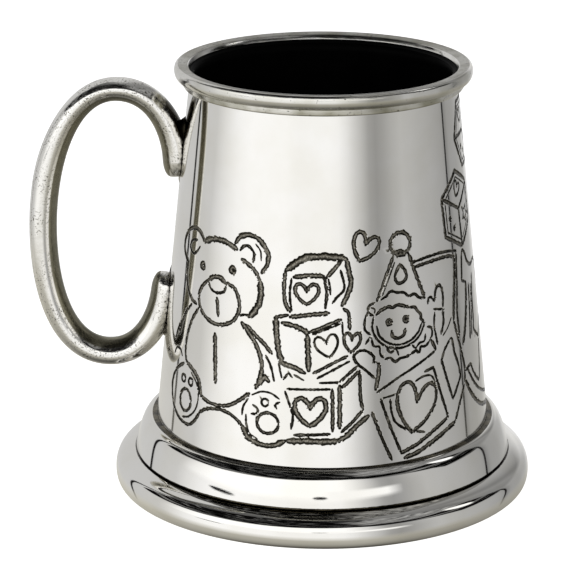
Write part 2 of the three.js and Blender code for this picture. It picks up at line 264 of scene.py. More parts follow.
def cast_pewter(name):
    """Buffed casting with fine pits; the face turned to the cup is painted darker olive as shade, and
    is rougher.
    """
    material, place, shader = blank_material(name)
    patches = place.speckle(0.16, 2.0).spread(0.38, 0.54)
    pits = place.speckle(2.3, 3.0, 0.6).spread(0.56, 0.64) * patches
    colour = pits.mix(place.speckle(0.2).mix(PEWTER, PEWTER_WARM), PIT_GREY)
    tarnish = stored(place, "tarnish")
    shaded_face = place.speckle(0.7, 3.0).mix(SHADED_OLIVE, SHADED_OLIVE_DARK)
    soft = place.speckle(0.5, 3.0).spread(0.3, 0.7, 0.08, 0.15) + tarnish * 0.12
    height = place.speckle(0.8, 3.0) - pits * 0.9
    # The handle is also painted darker as shade where it comes close to the wall.
    finish(shader, add_dirt(place, tarnish.mix(colour, shaded_face)), soft, height.bump(0.3, 0.00008))
    return material


def oxidised_pewter(name):
    """Inside of the cup painted near black as shade, with faint turning lines and a dull bloom."""
    material, place, shader = blank_material(name)
    colour = place.speckle(0.12, 4.0).spread(0.35, 0.7).mix(INSIDE_BLACK, INSIDE_BLOOM)
    lines = turned(place, 2.0, 5.0).speckle(1.0, 3.0)
    finish(shader, colour, lines.spread(0.3, 0.7, 0.45, 0.6), lines.bump(0.15, 0.00005), 0.0)
    shader.inputs["Specular IOR Level"].default_value = 0.02
    return material


def soft_solder(name, clean, stained, grain, lumpy):
    """Duller, slightly lumpy metal of the joints, stained dark in patches."""
    material, place, shader = blank_material(name)
    lumps = place.speckle(0.9, 3.0)
    colour = place.speckle(grain, 3.0).spread(0.44, 0.60).mix(clean, stained)
    rough = lumps.spread(0.3, 0.7, 0.2, 0.4)
    finish(shader, add_dirt(place, colour), rough, lumps.bump(lumpy, 0.0002))
    return material


# ---- Mesh helpers ------------------------------------------------------------------------


def add_piece(name, points, faces, materials, slot, node, crease_deg=38, face_materials=None):
    """A smooth-shaded mesh with sharp edges kept sharp, standing for one CAD node."""
    mesh = bpy.data.meshes.new(name)
    mesh.from_pydata([stand(*p) for p in points], [], faces)
    for material in materials:
        mesh.materials.append(material)
    if face_materials is not None:
        mesh.polygons.foreach_set("material_index", face_materials)
    mesh.polygons.foreach_set("use_smooth", [True] * len(mesh.polygons))
    mesh.set_sharp_from_angle(angle=math.radians(crease_deg))
    mesh.update()
    piece = bpy.data.objects.new(name, mesh)
    bpy.context.scene.collection.objects.link(piece)
    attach(piece, "root")
    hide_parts(node)
    return piece


def store(piece, name, values):
    """Keeps one value per point on the mesh for its material to read."""
    layer = piece.data.attributes.new(name, "FLOAT", "POINT")
    layer.data.foreach_set("value", values)


def add_turned(name, outline, materials, slot, node, kinds=None, **measures):
    """A piece turned round the axis from an outline of (r, z). Kinds gives the material of each
    stretch of the outline, and a measure is a function of the point that is stored on the mesh."""
    count = len(outline)
    points, faces = [], []
    for i in range(ROUND_STEPS):
        turn = 2 * math.pi * i / ROUND_STEPS
        points += [(r * math.cos(turn), r * math.sin(turn), z) for r, z in outline]
        here, there = i * count, (i + 1) % ROUND_STEPS * count
        for j in range(count):
            k = (j + 1) % count
            faces.append((here + j, there + j, there + k, here + k))
    kinds = kinds and kinds * ROUND_STEPS
    piece = add_piece(name, points, faces, materials, slot, node, face_materials=kinds)
    for key, measure in measures.items():
        store(piece, key, [measure(*p) for p in points])


def tube_faces(rings, count):
    """Faces through rings of count points each, with both ends closed."""
    faces = []
    for ring in range(rings - 1):
        for i in range(count):
            a, b = ring * count + i, ring * count + (i + 1) % count
            faces.append((a, b, b + count, a + count))
    last = (rings - 1) * count
    return [*faces, tuple(reversed(range(count))), tuple(range(last, last + count))]


def cubic(start, start_arm, end_arm, end, steps):
    """Points of a cubic curve between two (a, b) points."""
    corners = [np.array(p, float) for p in (start, start_arm, end_arm, end)]
    made = []
    for i in range(steps + 1):
        t = i / steps
        weights = ((1 - t) ** 3, 3 * t * (1 - t) ** 2, 3 * t * t * (1 - t), t**3)
        made.append(tuple(sum(w * c for w, c in zip(weights, corners))))
    return made


def arc(r, z, radius, start_deg, end_deg, steps):
    angles = np.radians(np.linspace(start_deg, end_deg, steps + 1))
    return [(r + radius * math.cos(a), z + radius * math.sin(a)) for a in angles]


def soften(corner, before, after, radius, steps=4):
    """Replaces a corner of an outline by a small round."""
    corner, before, after = (np.array(p, float) for p in (corner, before, after))
    start = corner + radius * (before - corner) / np.linalg.norm(before - corner)
    end = corner + radius * (after - corner) / np.linalg.norm(after - corner)
    turn = np.linspace(0, 1, steps + 1)
    return [tuple((1 - t) ** 2 * start + 2 * t * (1 - t) * corner + t * t * end) for t in turn]


# ---- Rim, floor and foot -----------------------------------------------------------------

RIM_STEP = 31.15
RIM_UNDER_Z = 93.15
RIM_WIDEST = (33.03, 95.05)
CREST_RADIUS = 31.95
LIP_RADIUS = 29.4
CREST, BEAD, STEP, LIP, INSIDE = range(5)  # the rim's finishes
FLOOR_TOP_Z = 12.5
FLOOR_THICKNESS = 1.2
FILLET_SIZE = 1.3
COLLAR_TOP = (39.0, 15.0)  # outer edge of its flat top
COLLAR_RADIUS = 42.7
CREASE_Z = 7.35
# Painted shade in the crease between the tiers.
CREASE_SHADE = 0.9
FLANGE_RADIUS = COLLAR_RADIUS - 2.2
FLANGE_GAP = 0.12
SKIRT_TOP_RADIUS = 42.4
FOOT_RADIUS = 47.45
FOOT_SHEET = 1.1
SOLE_RADIUS = 46.6
SOLE_INNER_RADIUS = 43.8
SOLE_Z = 0.02


def build_rim(finishes_used):
    """Step, full bead, flat crest and inner lip; each stretch of the outline has its finish."""
    under = (RIM_STEP + 0.25, RIM_UNDER_Z)
    top = (CREST_RADIUS, HEIGHT)
    lower = cubic(under, (32.5, RIM_UNDER_Z), (RIM_WIDEST[0], 94.0), RIM_WIDEST, 22)
    upper = cubic(RIM_WIDEST, (RIM_WIDEST[0], 96.05), (32.65, HEIGHT), top, 22)
    corner = (LIP_RADIUS + 0.7, HEIGHT - 0.27)
    lip = (LIP_RADIUS + 0.45, HEIGHT - 0.5)
    outline = [
        (wall_radius(WALL_TOP_Z) + 0.03, WALL_TOP_Z),
        *soften((RIM_STEP, WALL_TOP_Z), (30, WALL_TOP_Z), (RIM_STEP, WALL_TOP_Z + 1), 0.35),
        (RIM_STEP, RIM_UNDER_Z - 0.06),
        (RIM_STEP + 0.05, RIM_UNDER_Z),
        *lower,
        *upper[1:],
        *soften(corner, top, lip, 0.25),
        lip,
        (LIP_RADIUS + 0.13, HEIGHT - 1.25),
        (LIP_RADIUS + 0.02, HEIGHT - 1.5),
        (wall_radius(WALL_UPPER_EDGE_Z) - WALL_THICKNESS, WALL_UPPER_EDGE_Z + 0.1),
        (wall_radius(WALL_UPPER_EDGE_Z) + 0.03, WALL_UPPER_EDGE_Z + 0.05),
    ]
    finishes = []
    for (r, z), (next_r, next_z) in zip(outline, outline[1:] + outline[:1]):
        middle_r, middle_z = (r + next_r) / 2, (z + next_z) / 2
        if middle_r < LIP_RADIUS + 0.2 and middle_z < HEIGHT - 1.2:
            finishes.append(INSIDE)
        elif middle_r < LIP_RADIUS + 0.62 and middle_z < HEIGHT - 0.3:
            finishes.append(LIP)
        elif middle_r < CREST_RADIUS + 0.25 and middle_z > HEIGHT - 0.45:
            finishes.append(CREST)
        else:
            finishes.append(STEP if middle_z < RIM_UNDER_Z + 0.45 else BEAD)
    look = ("brushed_pewter", "rim_moulding", finishes)
    add_turned("rim", outline, finishes_used, *look, tarnish=rim_tarnish)


def rim_tarnish(x, y, z):
    """Painted shade: the crest is painted darker at the front, less at the back and not at its sides,
    and the lip is painted black at the front and on the handle's side.
    """
    r = math.hypot(x, y)
    if r > CREST_RADIUS + 0.3 or z < HEIGHT - 1.4:
        return 0.0
    if r < LIP_RADIUS + 0.5:
        return fade((y + 0.3 * x) / r, -0.1, 0.15)
    return (0.9 if y < 0 else 0.35) * (y / r) ** 2


def build_floor(material):
    edge = wall_radius(FLOOR_TOP_Z) - WALL_THICKNESS - 0.05
    under = FLOOR_TOP_Z - FLOOR_THICKNESS
    rings = [(0.02, FLOOR_TOP_Z - 0.05), (edge / 3, FLOOR_TOP_Z - 0.04), (edge, FLOOR_TOP_Z)]
    outline = [*rings, (edge, under), (0.02, under)]
    add_turned("floor_plate", outline, [material], "oxidised_pewter", "floor_disc")


def build_floor_fillet(material):
    z, top = FLOOR_TOP_Z + 0.03, FLOOR_TOP_Z + 0.03 + FILLET_SIZE
    edge = wall_radius(z) - WALL_THICKNESS - 0.03
    upper = wall_radius(top) - WALL_THICKNESS - 0.03
    cove = arc(edge - FILLET_SIZE, top, FILLET_SIZE * 0.85, -12, -78, 10)
    outline = [(edge, z), (upper, top), *cove, (edge - FILLET_SIZE, z)]
    add_turned("floor_fillet", outline, [material], "oxidised_pewter", "floor_solder")


def collar_line(inset, steps):
    top = COLLAR_TOP[1] - inset
    side = COLLAR_RADIUS - inset
    arms = ((40.85 - inset, top), (side - 0.75, 11.3))
    return cubic((COLLAR_TOP[0], top), *arms, (side, CREASE_Z + 0.25), steps)


def skirt_line(inset, steps):
    side = FOOT_RADIUS - inset
    arms = ((46.15 - inset, 6.4 - inset), (side, 5.4 - inset))
    return cubic((SKIRT_TOP_RADIUS, CREASE_Z - 0.25 - inset), *arms, (side, 2.1), steps)


# Painted shade on the collar's underside by the crease.
def collar_dirt(_x, _y, z):
    return CREASE_SHADE * fade(z, CREASE_Z + 0.2, CREASE_Z + 0.4)


# Painted shade on the skirt's top under the collar's edge.
def skirt_dirt(x, y, _z):
    return CREASE_SHADE * fade(math.hypot(x, y) - COLLAR_RADIUS, 0.05, 0.42)


def build_collar(material):
    seat = wall_radius(COLLAR_TOP[1]) + 0.03
    under = CREASE_Z + FLANGE_GAP
    outline = [
        (seat, COLLAR_TOP[1]),
        *collar_line(0, 60),
        (COLLAR_RADIUS - 0.08, under + 0.04),
        (COLLAR_RADIUS - 0.3, under),
        (FLANGE_RADIUS, under),
        (FLANGE_RADIUS, under + FOOT_SHEET),
        *reversed(collar_line(FOOT_SHEET, 16)),
        (seat, COLLAR_TOP[1] - FOOT_SHEET),
    ]
    look = ("polished_pewter", "foot_collar")
    add_turned("collar", outline, [material], *look, dirt=collar_dirt)


def build_skirt(material):
    top = CREASE_Z - FLANGE_GAP
    outline = [
        (FLANGE_RADIUS, top),
        (SKIRT_TOP_RADIUS - 0.3, top),
        (SKIRT_TOP_RADIUS - 0.08, top - 0.04),
        *skirt_line(0, 60),
        *cubic((FOOT_RADIUS, 2.1), (FOOT_RADIUS, 0.9), (47.1, SOLE_Z), (SOLE_RADIUS, SOLE_Z), 14)[1:],
        (SOLE_INNER_RADIUS, SOLE_Z),
        (SOLE_INNER_RADIUS, FOOT_SHEET),
        (SOLE_RADIUS - FOOT_SHEET, FOOT_SHEET),
        *reversed(skirt_line(FOOT_SHEET, 16)),
        (FLANGE_RADIUS, top - FOOT_SHEET),
    ]
    add_turned("skirt", outline, [material], "polished_pewter", "foot_skirt", dirt=skirt_dirt)


def build_foot_joints(material):
    bottom = COLLAR_TOP[1] + 0.02
    seat = wall_radius(bottom)
    cove = cubic(
        (seat + 1.1, bottom),
        (seat + 0.6, bottom + 0.03),
        (seat + 0.2, bottom + 0.05),
        (wall_radius(bottom + 0.2) + 0.04, bottom + 0.2),
        14,
    )
    outline = [(seat + 0.03, bottom), *cove]
    add_turned("collar_joint", outline, [material], "solder", "collar_solder")
    inner, outer = COLLAR_RADIUS - 2.0, COLLAR_RADIUS - 0.28
    low, high = CREASE_Z - 0.1, CREASE_Z + 0.1
    outline = [(inner, low), (outer, low), (outer, high), (inner, high)]
    add_turned("tier_joint", outline, [material], "solder", "tier_solder")


# ---- Handle ------------------------------------------------------------------------------

HALF_WIDTH = 4.0
GRIP_DEPTH = 4.39
ARCH_DEPTH = 3.4
INNER_CROWN = 1.85
CROWN_FULLNESS = 1.9
WIDEST_SHARE = 0.4
EDGE_SHARE = 0.84
FLANK_POWER = 2.8
TONGUE_LENGTH = 4.2
TONGUE_RINGS = 14
GRIP_RINGS = 220
PAD_HALF_WIDTH = 3.0
PAD_RINGS = 8
PAD_CORNERS = 48


def handle_line():
    """Even points along the handle's inner edge line in the plane y = 0, as (x, z)."""
    arch, grip, sole = (-46.1, 89.4), (-61.75, 57.0), (-48.3, 30.3)
    stretches = [
        cubic((-34, 70.2), (-34, 71.2), (-34, 72.2), (-34, 73.2), 60),
        cubic((-34, 73.2), (-34, 80.7), (-37.7, 89.4), arch, 400),
        cubic(arch, (-56.6, 89.4), (-61.75, 72.3), grip, 400),
        cubic(grip, (-61.75, 42.6), (-57.6, 30.3), sole, 400),
        cubic(sole, (-40.9, 30.3), (-37.55, 38.5), (-36.9, 45), 400),
        cubic((-36.9, 45), (-36.8, 46), (-36.7, 47), (-36.6, 48), 60),
    ]
    path = np.array([p for stretch in stretches for p in stretch[:-1]] + [(-36.6, 48.0)])
    steps = np.hypot(*np.diff(path, axis=0).T)
    return path, np.concatenate([[0], np.cumsum(steps)])


def along(path, lengths, at):
    """Point and unit tangent at a length along the line."""
    ahead, behind = min(at + 0.15, lengths[-1]), max(at - 0.15, 0.0)

    def spot(length):
        return np.array([np.interp(length, lengths, path[:, k]) for k in (0, 1)])

    tangent = spot(ahead) - spot(behind)
    return spot(at), tangent / np.linalg.norm(tangent)


def d_section(half_width, outer, inner):
    """The handle's section as (across, outwards, shade): a deep rounded crown on the outside, sides
    that come in a little to the edge line, and a shallow crown inside. The shade is 1 on the inside
    face, which is painted darker."""
    widest = WIDEST_SHARE * outer
    power = 2 / CROWN_FULLNESS
    right = []
    for i in range(17):
        turn = math.pi / 2 * i / 16
        rise = (outer - widest) * math.cos(turn) ** power
        right.append((half_width * math.sin(turn) ** power, widest + rise, 0.0))
    for i in range(1, 9):
        share = i / 8
        across = half_width * (1 - (1 - EDGE_SHARE) * share**FLANK_POWER)
        right.append((across, widest * (1 - share), 0.0))
    left = [(-across, out, tarnish) for across, out, tarnish in right[1:]]
    inside = []
    for share in (-0.96, -0.9, *np.linspace(-0.8, 0.8, 11), 0.9, 0.96):
        cover = 0.0 if abs(share) > 0.95 else 1.0
        inside.append((EDGE_SHARE * half_width * share, -inner * (1 - share * share), cover))
    return [*reversed(right), *left, *inside]


def crown_depth(share):
    away = min(1.0, abs(share - 0.24) / 0.2)
    return GRIP_DEPTH - (GRIP_DEPTH - ARCH_DEPTH) * math.cos(math.pi / 2 * away) ** 2


def against_wall(x, y, z, gap):
    """Moves a point out to the wall's surface where it would be inside it."""
    here = math.hypot(x, y)
    there = wall_radius(z) + gap
    if here >= there:
        return x, y, z
    return x * there / here, y * there / here, z


def build_handle(material):
    path, lengths = handle_line()
    total = lengths[-1]
    turns = [math.pi / 2 * i / TONGUE_RINGS for i in range(TONGUE_RINGS)]
    ends = [TONGUE_LENGTH * (1 - math.cos(turn)) for turn in turns]
    middle = list(np.linspace(TONGUE_LENGTH, total - TONGUE_LENGTH, GRIP_RINGS))
    stops = ends + middle + [total - e for e in reversed(ends)]
    points, cover, contact_shade = [], [], []
    for at in stops:
        centre, tangent = along(path, lengths, at)
        outwards = np.array([tangent[1], -tangent[0]])
        near_end = min(1.0, min(at, total - at) / TONGUE_LENGTH)
        rounding = math.sqrt(max(0.002, 1 - (1 - near_end) ** 2))
        crown = crown_depth(at / total) * min(1.0, 0.25 + 0.75 * rounding)
        section = d_section(HALF_WIDTH * rounding, crown, INNER_CROWN * rounding)
        for across, out, tarnish in section:
            x, z = centre + out * outwards
            points.append(against_wall(x, -across, z, 0.12))
            cover.append(tarnish)
            gap = math.hypot(x, across) - wall_radius(z)
            # Painted shade where the handle comes close to the wall: in the V between its upper end and
            # the wall, and along its edges near the wall.
            crook_shade = fade(gap, 1.5, 8) * fade(z, 80.5, 78) * fade(out / crown, 0.85, 0.5)
            contact_shade.append(max(crook_shade, 0.36 * fade(gap, 0.5, 1.9)))
    faces = tube_faces(len(stops), len(points) // len(stops))
    handle = add_piece("handle_casting", points, faces, [material], "cast_pewter", "handle", 50)
    # The inside face is painted darker olive as shade.
    store(handle, "tarnish", cover)
    store(handle, "dirt", contact_shade)


def build_handle_joint(name, node, material, low, high, tip_up):
    """Pillow of solder between a handle end and the wall, following the tongue's outline."""
    middle, half = (low + high) / 2, (high - low) / 2
    points = []
    for ring in range(PAD_RINGS):
        share = 1 - ring / PAD_RINGS
        for i in range(PAD_CORNERS):
            turn = 2 * math.pi * i / PAD_CORNERS
            squeeze = 1 - 0.35 * max(0.0, -math.sin(turn) if tip_up else math.sin(turn))
            wobble = 1 + 0.06 * noise.noise(Vector((turn * 1.7, low, share)))
            across = PAD_HALF_WIDTH * share * squeeze * wobble * math.cos(turn)
            z = middle + half * share * wobble * math.sin(turn)
            angle = across / wall_radius(z)
            full = 0.5 + 1.9 * (fade(z, 82.5, 78) if tip_up else fade(z, 35, 40))
            r = wall_radius(z) + 0.02 + full * math.sqrt(1 - share**2)
            points.append((-r * math.cos(angle), -r * math.sin(angle), z))
    faces = tube_faces(PAD_RINGS, PAD_CORNERS)
    joint = add_piece(name, points, faces, [material], "solder", node)
    # Each pad is darker towards its bottom.
    dark_from = 75 if tip_up else 47
    store(joint, "dirt", [fade(z, dark_from + 2, dark_from) for _, _, z in points])


def build_side_seam(material):
    half = math.asin((SEAM_HALF_WIDTH - 0.05) / wall_radius(50))
    rows = np.linspace(WALL_LOWER_EDGE_Z, WALL_UPPER_EDGE_Z, 60)
    corners = ((0, -1), (0, 0), (0, 1), (-WALL_THICKNESS, 1), (-WALL_THICKNESS, -1))
    points = []
    for z in rows:
        for r, side in corners:
            rise = 0.03 * noise.noise(Vector((z * 0.7, side, r))) if r == 0 else 0
            radius = wall_radius(z) + r + rise
            angle = side * half
            points.append((-radius * math.cos(angle), -radius * math.sin(angle), z))
    faces = tube_faces(len(rows), len(corners))
    add_piece("seam", points, faces, [material], "solder", "side_seam")


# ---- The frieze: pen strokes on the unrolled wall ----------------------------------------

STROKE_GAIN = 0.455  # half the cut's width for a pen stroke of width 1
CURVE_STEPS = 12
strokes = []


def line(width, *points):
    """A stroke of straight runs."""
    strokes.append((width, [np.array(p, float) for p in points]))


def bend(width, *points):
    """A smooth stroke through the points."""
    given = [np.array(p, float) for p in points]
    given = [2 * given[0] - given[1], *given, 2 * given[-1] - given[-2]]
    made = []
    for before, a, b, after in zip(given, given[1:], given[2:], given[3:]):
        for t in np.linspace(0, 1, CURVE_STEPS, endpoint=False):
            pull = (b - before) * t + (2 * before - 5 * a + 4 * b - after) * t * t
            push = (3 * a - before - 3 * b + after) * t**3
            made.append(a + 0.5 * (pull + push))
    made.append(given[-2])
    strokes.append((width, made))


def oval(width, s, z, half_s, half_z):
    turns = np.linspace(0, 2 * math.pi, 25)
    line(width, *[(s + half_s * math.cos(t), z + half_z * math.sin(t)) for t in turns])


def bead(s, z, radius):
    """A round punched dot."""
    oval(radius * 0.9, s, z, radius * 0.55, radius * 0.55)


def heart(width, s, z, wide, high, lean_deg=0):
    """A plain heart about its middle, drawn from the notch down each side to the point."""
    lean = math.radians(lean_deg)
    half = [(0, 0.1), (0.1, 0.34), (0.29, 0.48), (0.48, 0.38), (0.5, 0.08), (0.3, -0.24), (0, -0.5)]
    for side in (-1, 1):
        made = []
        for a, b in half:
            a, b = side * a * wide, b * high
            across = a * math.cos(lean) - b * math.sin(lean)
            made.append((s + across, z + a * math.sin(lean) + b * math.cos(lean)))
        bend(width, *made)


def star(width, s, z, radius, lean_deg=0):
    made = []
    for i in range(11):
        turn = math.radians(90 + lean_deg + 36 * i)
        size = radius if i % 2 == 0 else radius * 0.45
        made.append((s + size * math.cos(turn), z + size * math.sin(turn)))
    line(width, *made)


def draw_teddy():
    draw_teddy_head()
    draw_teddy_body()
    draw_teddy_feet()


def draw_teddy_head():
    # left ear
    bend(
        1.0, (-30.1, 60.9), (-32, 62.8), (-34.6, 63.3),
        (-37.2, 62.2), (-38.9, 59.6), (-38.5, 57), (-36.2, 55.1),
    )
    bend(0.6, (-33.2, 60.9), (-35.3, 60.3), (-36, 58.7), (-34.5, 57.6), (-33, 58.4), (-31.9, 59.7))
    # top of the head and right ear
    bend(1.4, (-30, 61.2), (-28.4, 62.1), (-25.4, 62.6), (-22.6, 62.3), (-20.2, 61.4))
    bend(
        1.2, (-20.7, 62.7), (-19.5, 64.3), (-17.1, 65),
        (-14.5, 64.2), (-12.5, 61.9), (-12.3, 59.4), (-13.6, 57.2),
    )
    bend(0.7, (-19.3, 61.4), (-18.4, 62.4), (-17, 62.5), (-15.7, 61.1), (-15.9, 59.3))
    bend(0.3, (-15.4, 63.2), (-14.2, 61.9), (-13.9, 59.8))
    # cheeks
    bend(1.1, (-18.7, 59.4), (-16.8, 58.5), (-15.2, 57.2), (-14.3, 55.9))
    bend(1.5, (-14.3, 55.9), (-13.7, 53.6), (-13.9, 50.9), (-14.9, 48.7), (-16.3, 47.2))
    bend(0.5, (-16, 47.4), (-17.4, 47.5), (-18.9, 47))
    bend(0.9, (-36.3, 55.2), (-36.5, 52.4), (-35.6, 49.8), (-33.6, 47.6), (-31.6, 46.9))
    # eyes, muzzle, nose and mouth
    bead(-30.3, 55.8, 1.15)
    bead(-21, 56.7, 1.2)
    muzzle = [(-22.7, 53.6), (-20.4, 52.9), (-19.1, 50.8), (-18.8, 48.4), (-19.9, 46), (-22.2, 44.5)]
    muzzle += [(-25.2, 44), (-28, 44.8), (-30.1, 46.5), (-30.9, 48.8), (-30.2, 51), (-28.3, 53)]
    bend(0.95, *muzzle)
    bend(1.2, (-27.9, 53.3), (-26.4, 54.2), (-24.5, 54.4), (-22.9, 53.5))
    bend(0.6, (-27.9, 52.7), (-27, 51.4), (-25.1, 50.9), (-23.1, 51.6), (-22.6, 53.1))
    line(0.95, (-25, 49.7), (-24.3, 45.9))


def draw_teddy_body():
    # seam and sides of the body
    line(1.15, (-24.9, 41.8), (-23.9, 31.1))
    bend(0.8, (-30.7, 46.2), (-32.8, 43), (-34.2, 38.9), (-34.3, 35.4), (-33.6, 33.2))
    bend(1.1, (-17.9, 45.6), (-15.8, 43.3), (-13.7, 40.2), (-12.8, 36.8), (-13.2, 34), (-14, 31.8))
    # arms
    bend(0.7, (-33.4, 46.4), (-36.2, 43.2), (-38.5, 39.4), (-39.5, 36.6))
    bend(1.0, (-35, 44.9), (-36.7, 41.6), (-37.6, 38.4))
    bend(0.5, (-39.3, 33.6), (-38.3, 35.2), (-36.6, 35.2), (-35.6, 34))
    bend(0.9, (-16.9, 45.4), (-14.6, 43.5), (-12.4, 41.7), (-10.7, 39.8))
    bend(0.45, (-12, 39.3), (-10.8, 37), (-10, 33.9))
    bend(0.4, (-9.1, 38.2), (-8.8, 36.4), (-8.4, 34.8))
    line(1.2, (-13.4, 32.6), (-12.2, 34.6), (-11.2, 33.7))
    # hem between the feet
    bend(0.9, (-27.7, 27), (-25.4, 26.3), (-22.6, 26.2), (-20, 26.9), (-17.6, 28.5), (-15.4, 30.4))


def draw_teddy_feet():
    # left foot
    bend(1.1, (-33.7, 33.2), (-31.1, 32.2), (-29.2, 30.8), (-28.3, 28.8), (-27.8, 27))
    outer = [(-34.6, 32.6), (-37.4, 30.6), (-39, 27.6), (-38.7, 24.4), (-37, 21.6), (-34.4, 19.9)]
    bend(0.8, *outer, (-31.4, 19.5), (-29.4, 20.8), (-28, 23))
    bend(0.4, (-31.6, 31.4), (-29.4, 29.4), (-28.6, 26.6), (-29.2, 23.6), (-31.2, 21.4), (-33.6, 20.6))
    bend(
        0.8, (-28, 23.2), (-26.2, 24.5), (-23.8, 25.2),
        (-21.4, 25.4), (-19, 24.7), (-17.1, 23.3), (-16.2, 21.6),
    )
    oval(0.6, -34.2, 29.3, 0.75, 0.85)
    oval(0.6, -31.5, 29.2, 0.75, 0.85)
    oval(0.75, -32.9, 24.7, 2.0, 2.5)
    # right foot
    bend(0.4, (-16.8, 25.4), (-16.6, 27.3), (-15.6, 29.2))
    bend(0.35, (-14.7, 30.2), (-12.7, 31.2), (-10.6, 31.1), (-8.8, 30))
    bend(0.5, (-15.9, 25.6), (-15.7, 23.4), (-14.9, 21.5), (-13.2, 20.5))
    bend(1.2, (-16.5, 22.9), (-15.5, 20.8), (-13.6, 19.8), (-11.2, 19.4), (-9.2, 19.8), (-7.4, 20.9))
    bend(0.5, (-14.4, 28), (-13.4, 27.3), (-13.5, 26.2), (-14.7, 26))
    oval(0.45, -11.8, 28.9, 0.75, 0.85)
    bend(0.45, (-8.7, 29.3), (-9.6, 28.7), (-9.3, 27.8))
    oval(0.7, -11.1, 24.4, 2.3, 2.3)


def draw_top_block():
    bend(1.7, (-8, 58.4), (-5.8, 60), (-3.6, 61.3), (0, 61.5), (3.6, 61.3), (5, 60.9))
    bend(0.9, (-8.3, 58), (-8.4, 54.4), (-8.1, 51.4), (-7, 49.3))
    line(1.1, (-6.3, 56.9), (-3, 57.4), (0.2, 57.3))
    bend(0.5, (-6.8, 56.6), (-7.1, 53), (-6.6, 49.6))
    bend(0.7, (0.4, 57), (0.9, 53.6), (0.6, 50.4))
    line(0.45, (1.3, 56.6), (1.7, 53.3))
    line(1.0, (0.9, 57), (3.9, 60.3))
    bend(1.2, (5.3, 60.8), (5.8, 58.2), (6.2, 55.6), (5.3, 52.9), (4.2, 50.9))
    bend(0.5, (3.9, 58.5), (4.6, 56), (4.6, 54.2), (3.2, 52.8), (2.1, 51.4))
    heart(0.85, -3.4, 53.3, 5.0, 4.6)


def draw_middle_block():
    line(0.9, (-10.3, 47.8), (-7.4, 48.6))
    line(1.0, (-6.9, 48.2), (-2.4, 48.9), (1.4, 49.3))
    bend(1.4, (-10, 47.5), (-9.7, 43.6), (-9.1, 40), (-8.5, 38.2))
    bend(1.2, (-8.5, 38), (-5.9, 37.2), (-3.6, 36.1))
    bend(1.25, (-3.2, 44.5), (-3, 40.6), (-2.8, 36.7))
    bend(1.25, (-8.6, 46.8), (-5.7, 46.2), (-3, 45))
    bend(0.9, (-2.7, 45), (0.4, 46.3), (3.9, 47.8))
    line(0.4, (-2, 44.6), (3.8, 46.9))
    bend(0.8, (4.5, 50.2), (5.6, 49), (5.8, 45.6))
    line(0.4, (4.2, 47.2), (4.3, 44.6))
    line(0.7, (-1.8, 36.1), (2, 38.2), (5.2, 39.8))
    line(0.5, (-1, 35), (2.5, 37), (5.6, 38.6))
    heart(0.5, 1.0, 42.0, 4.8, 5.0, 12)
    heart(0.75, 6.2, 42.7, 3.5, 4.4, -6)


def draw_bottom_block():
    line(0.4, (-8, 34.4), (-7, 36), (-6.2, 35))
    line(0.4, (-5.8, 35.6), (-3.8, 34.5))
    line(0.5, (-0.5, 34), (3.6, 34.1))
    line(0.5, (-7.2, 32.4), (2, 32.6))
    bend(0.5, (-7.6, 31.8), (-6.7, 29.2), (-5.9, 26.6), (-6.2, 23.6))
    line(0.8, (2.1, 32.3), (2.1, 23.3))
    line(1.0, (3.6, 33.3), (3.5, 24))
    line(0.6, (3.7, 34.3), (7.2, 37.4))
    line(0.8, (4.1, 32.9), (7.7, 36.4))
    bend(0.7, (7.8, 36.4), (7.8, 32), (8, 29.3), (8.4, 27.9))
    line(0.7, (8.3, 27.7), (6.2, 25.3), (3.9, 23.1))
    bend(1.2, (9.3, 26.3), (7.4, 24.7), (4.9, 22.2), (3.2, 21.2))
    line(1.5, (-6.8, 20.9), (-3, 21.1), (0, 21), (3.3, 21.1))
    line(0.7, (-5.5, 22.3), (1.5, 22.7))
    heart(1.15, -2.4, 27.5, 6.2, 6.4)


def draw_clown_head():
    # pompom and hat
    ring = []
    for i in range(25):
        turn = 2 * math.pi * i / 24
        size = 2.55 + (0.22 if i % 2 else -0.1)
        ring.append((18.1 + size * math.cos(turn), 63.1 + 0.95 * size * math.sin(turn)))
    line(1.1, *ring)
    line(0.9, (16.1, 61.3), (18, 61.5), (20, 60.8))
    line(0.85, (16.1, 60.6), (14, 56), (12, 51.4))
    line(0.95, (20.2, 60.4), (22, 55.4), (24, 50.3))
    line(0.3, (16.4, 59.2), (13.2, 52.4))
    bend(
        0.75, (17.7, 58.7), (16.4, 56.4), (16.8, 54.8),
        (18.1, 54.6), (19.3, 55.6), (18.9, 57.3), (17.7, 58.7),
    )
    # brim, fringe and round of the face
    bend(0.6, (12.9, 51.5), (14.2, 52.2), (15.2, 53.1), (16.8, 52.6), (18.4, 52.4), (19.5, 51.3))
    bend(0.6, (19.5, 51.3), (21.2, 51.6), (22.4, 50.6), (24, 50.2))
    bend(
        0.8, (11.7, 48.4), (13.1, 49.3), (14.6, 49.8),
        (15.5, 49.4), (16.6, 49.9), (18, 49.5), (19.6, 48.9),
    )
    bend(0.7, (19.6, 48.9), (21, 48.7), (21.8, 47.7), (22.7, 46.7), (22.6, 45.9), (23.6, 44.8))
    bend(
        0.5, (11, 47.8), (10.7, 45.4), (11.7, 43), (13.6, 41.3),
        (16.5, 40.4), (19.6, 40.8), (22, 42.3), (23.6, 44.8),
    )
    bend(
        0.5, (11.7, 45.8), (12.3, 43.6), (14.2, 41.9),
        (16.7, 41.1), (19.5, 41.6), (21.6, 43), (22.8, 44.9),
    )
    # eyes and smile
    bead(14.6, 46.4, 1.0)
    bead(18.7, 46.5, 1.0)
    bend(0.8, (15.1, 44.4), (15.3, 43.2), (16.6, 42.6), (17.9, 43.1), (18.4, 44.4))


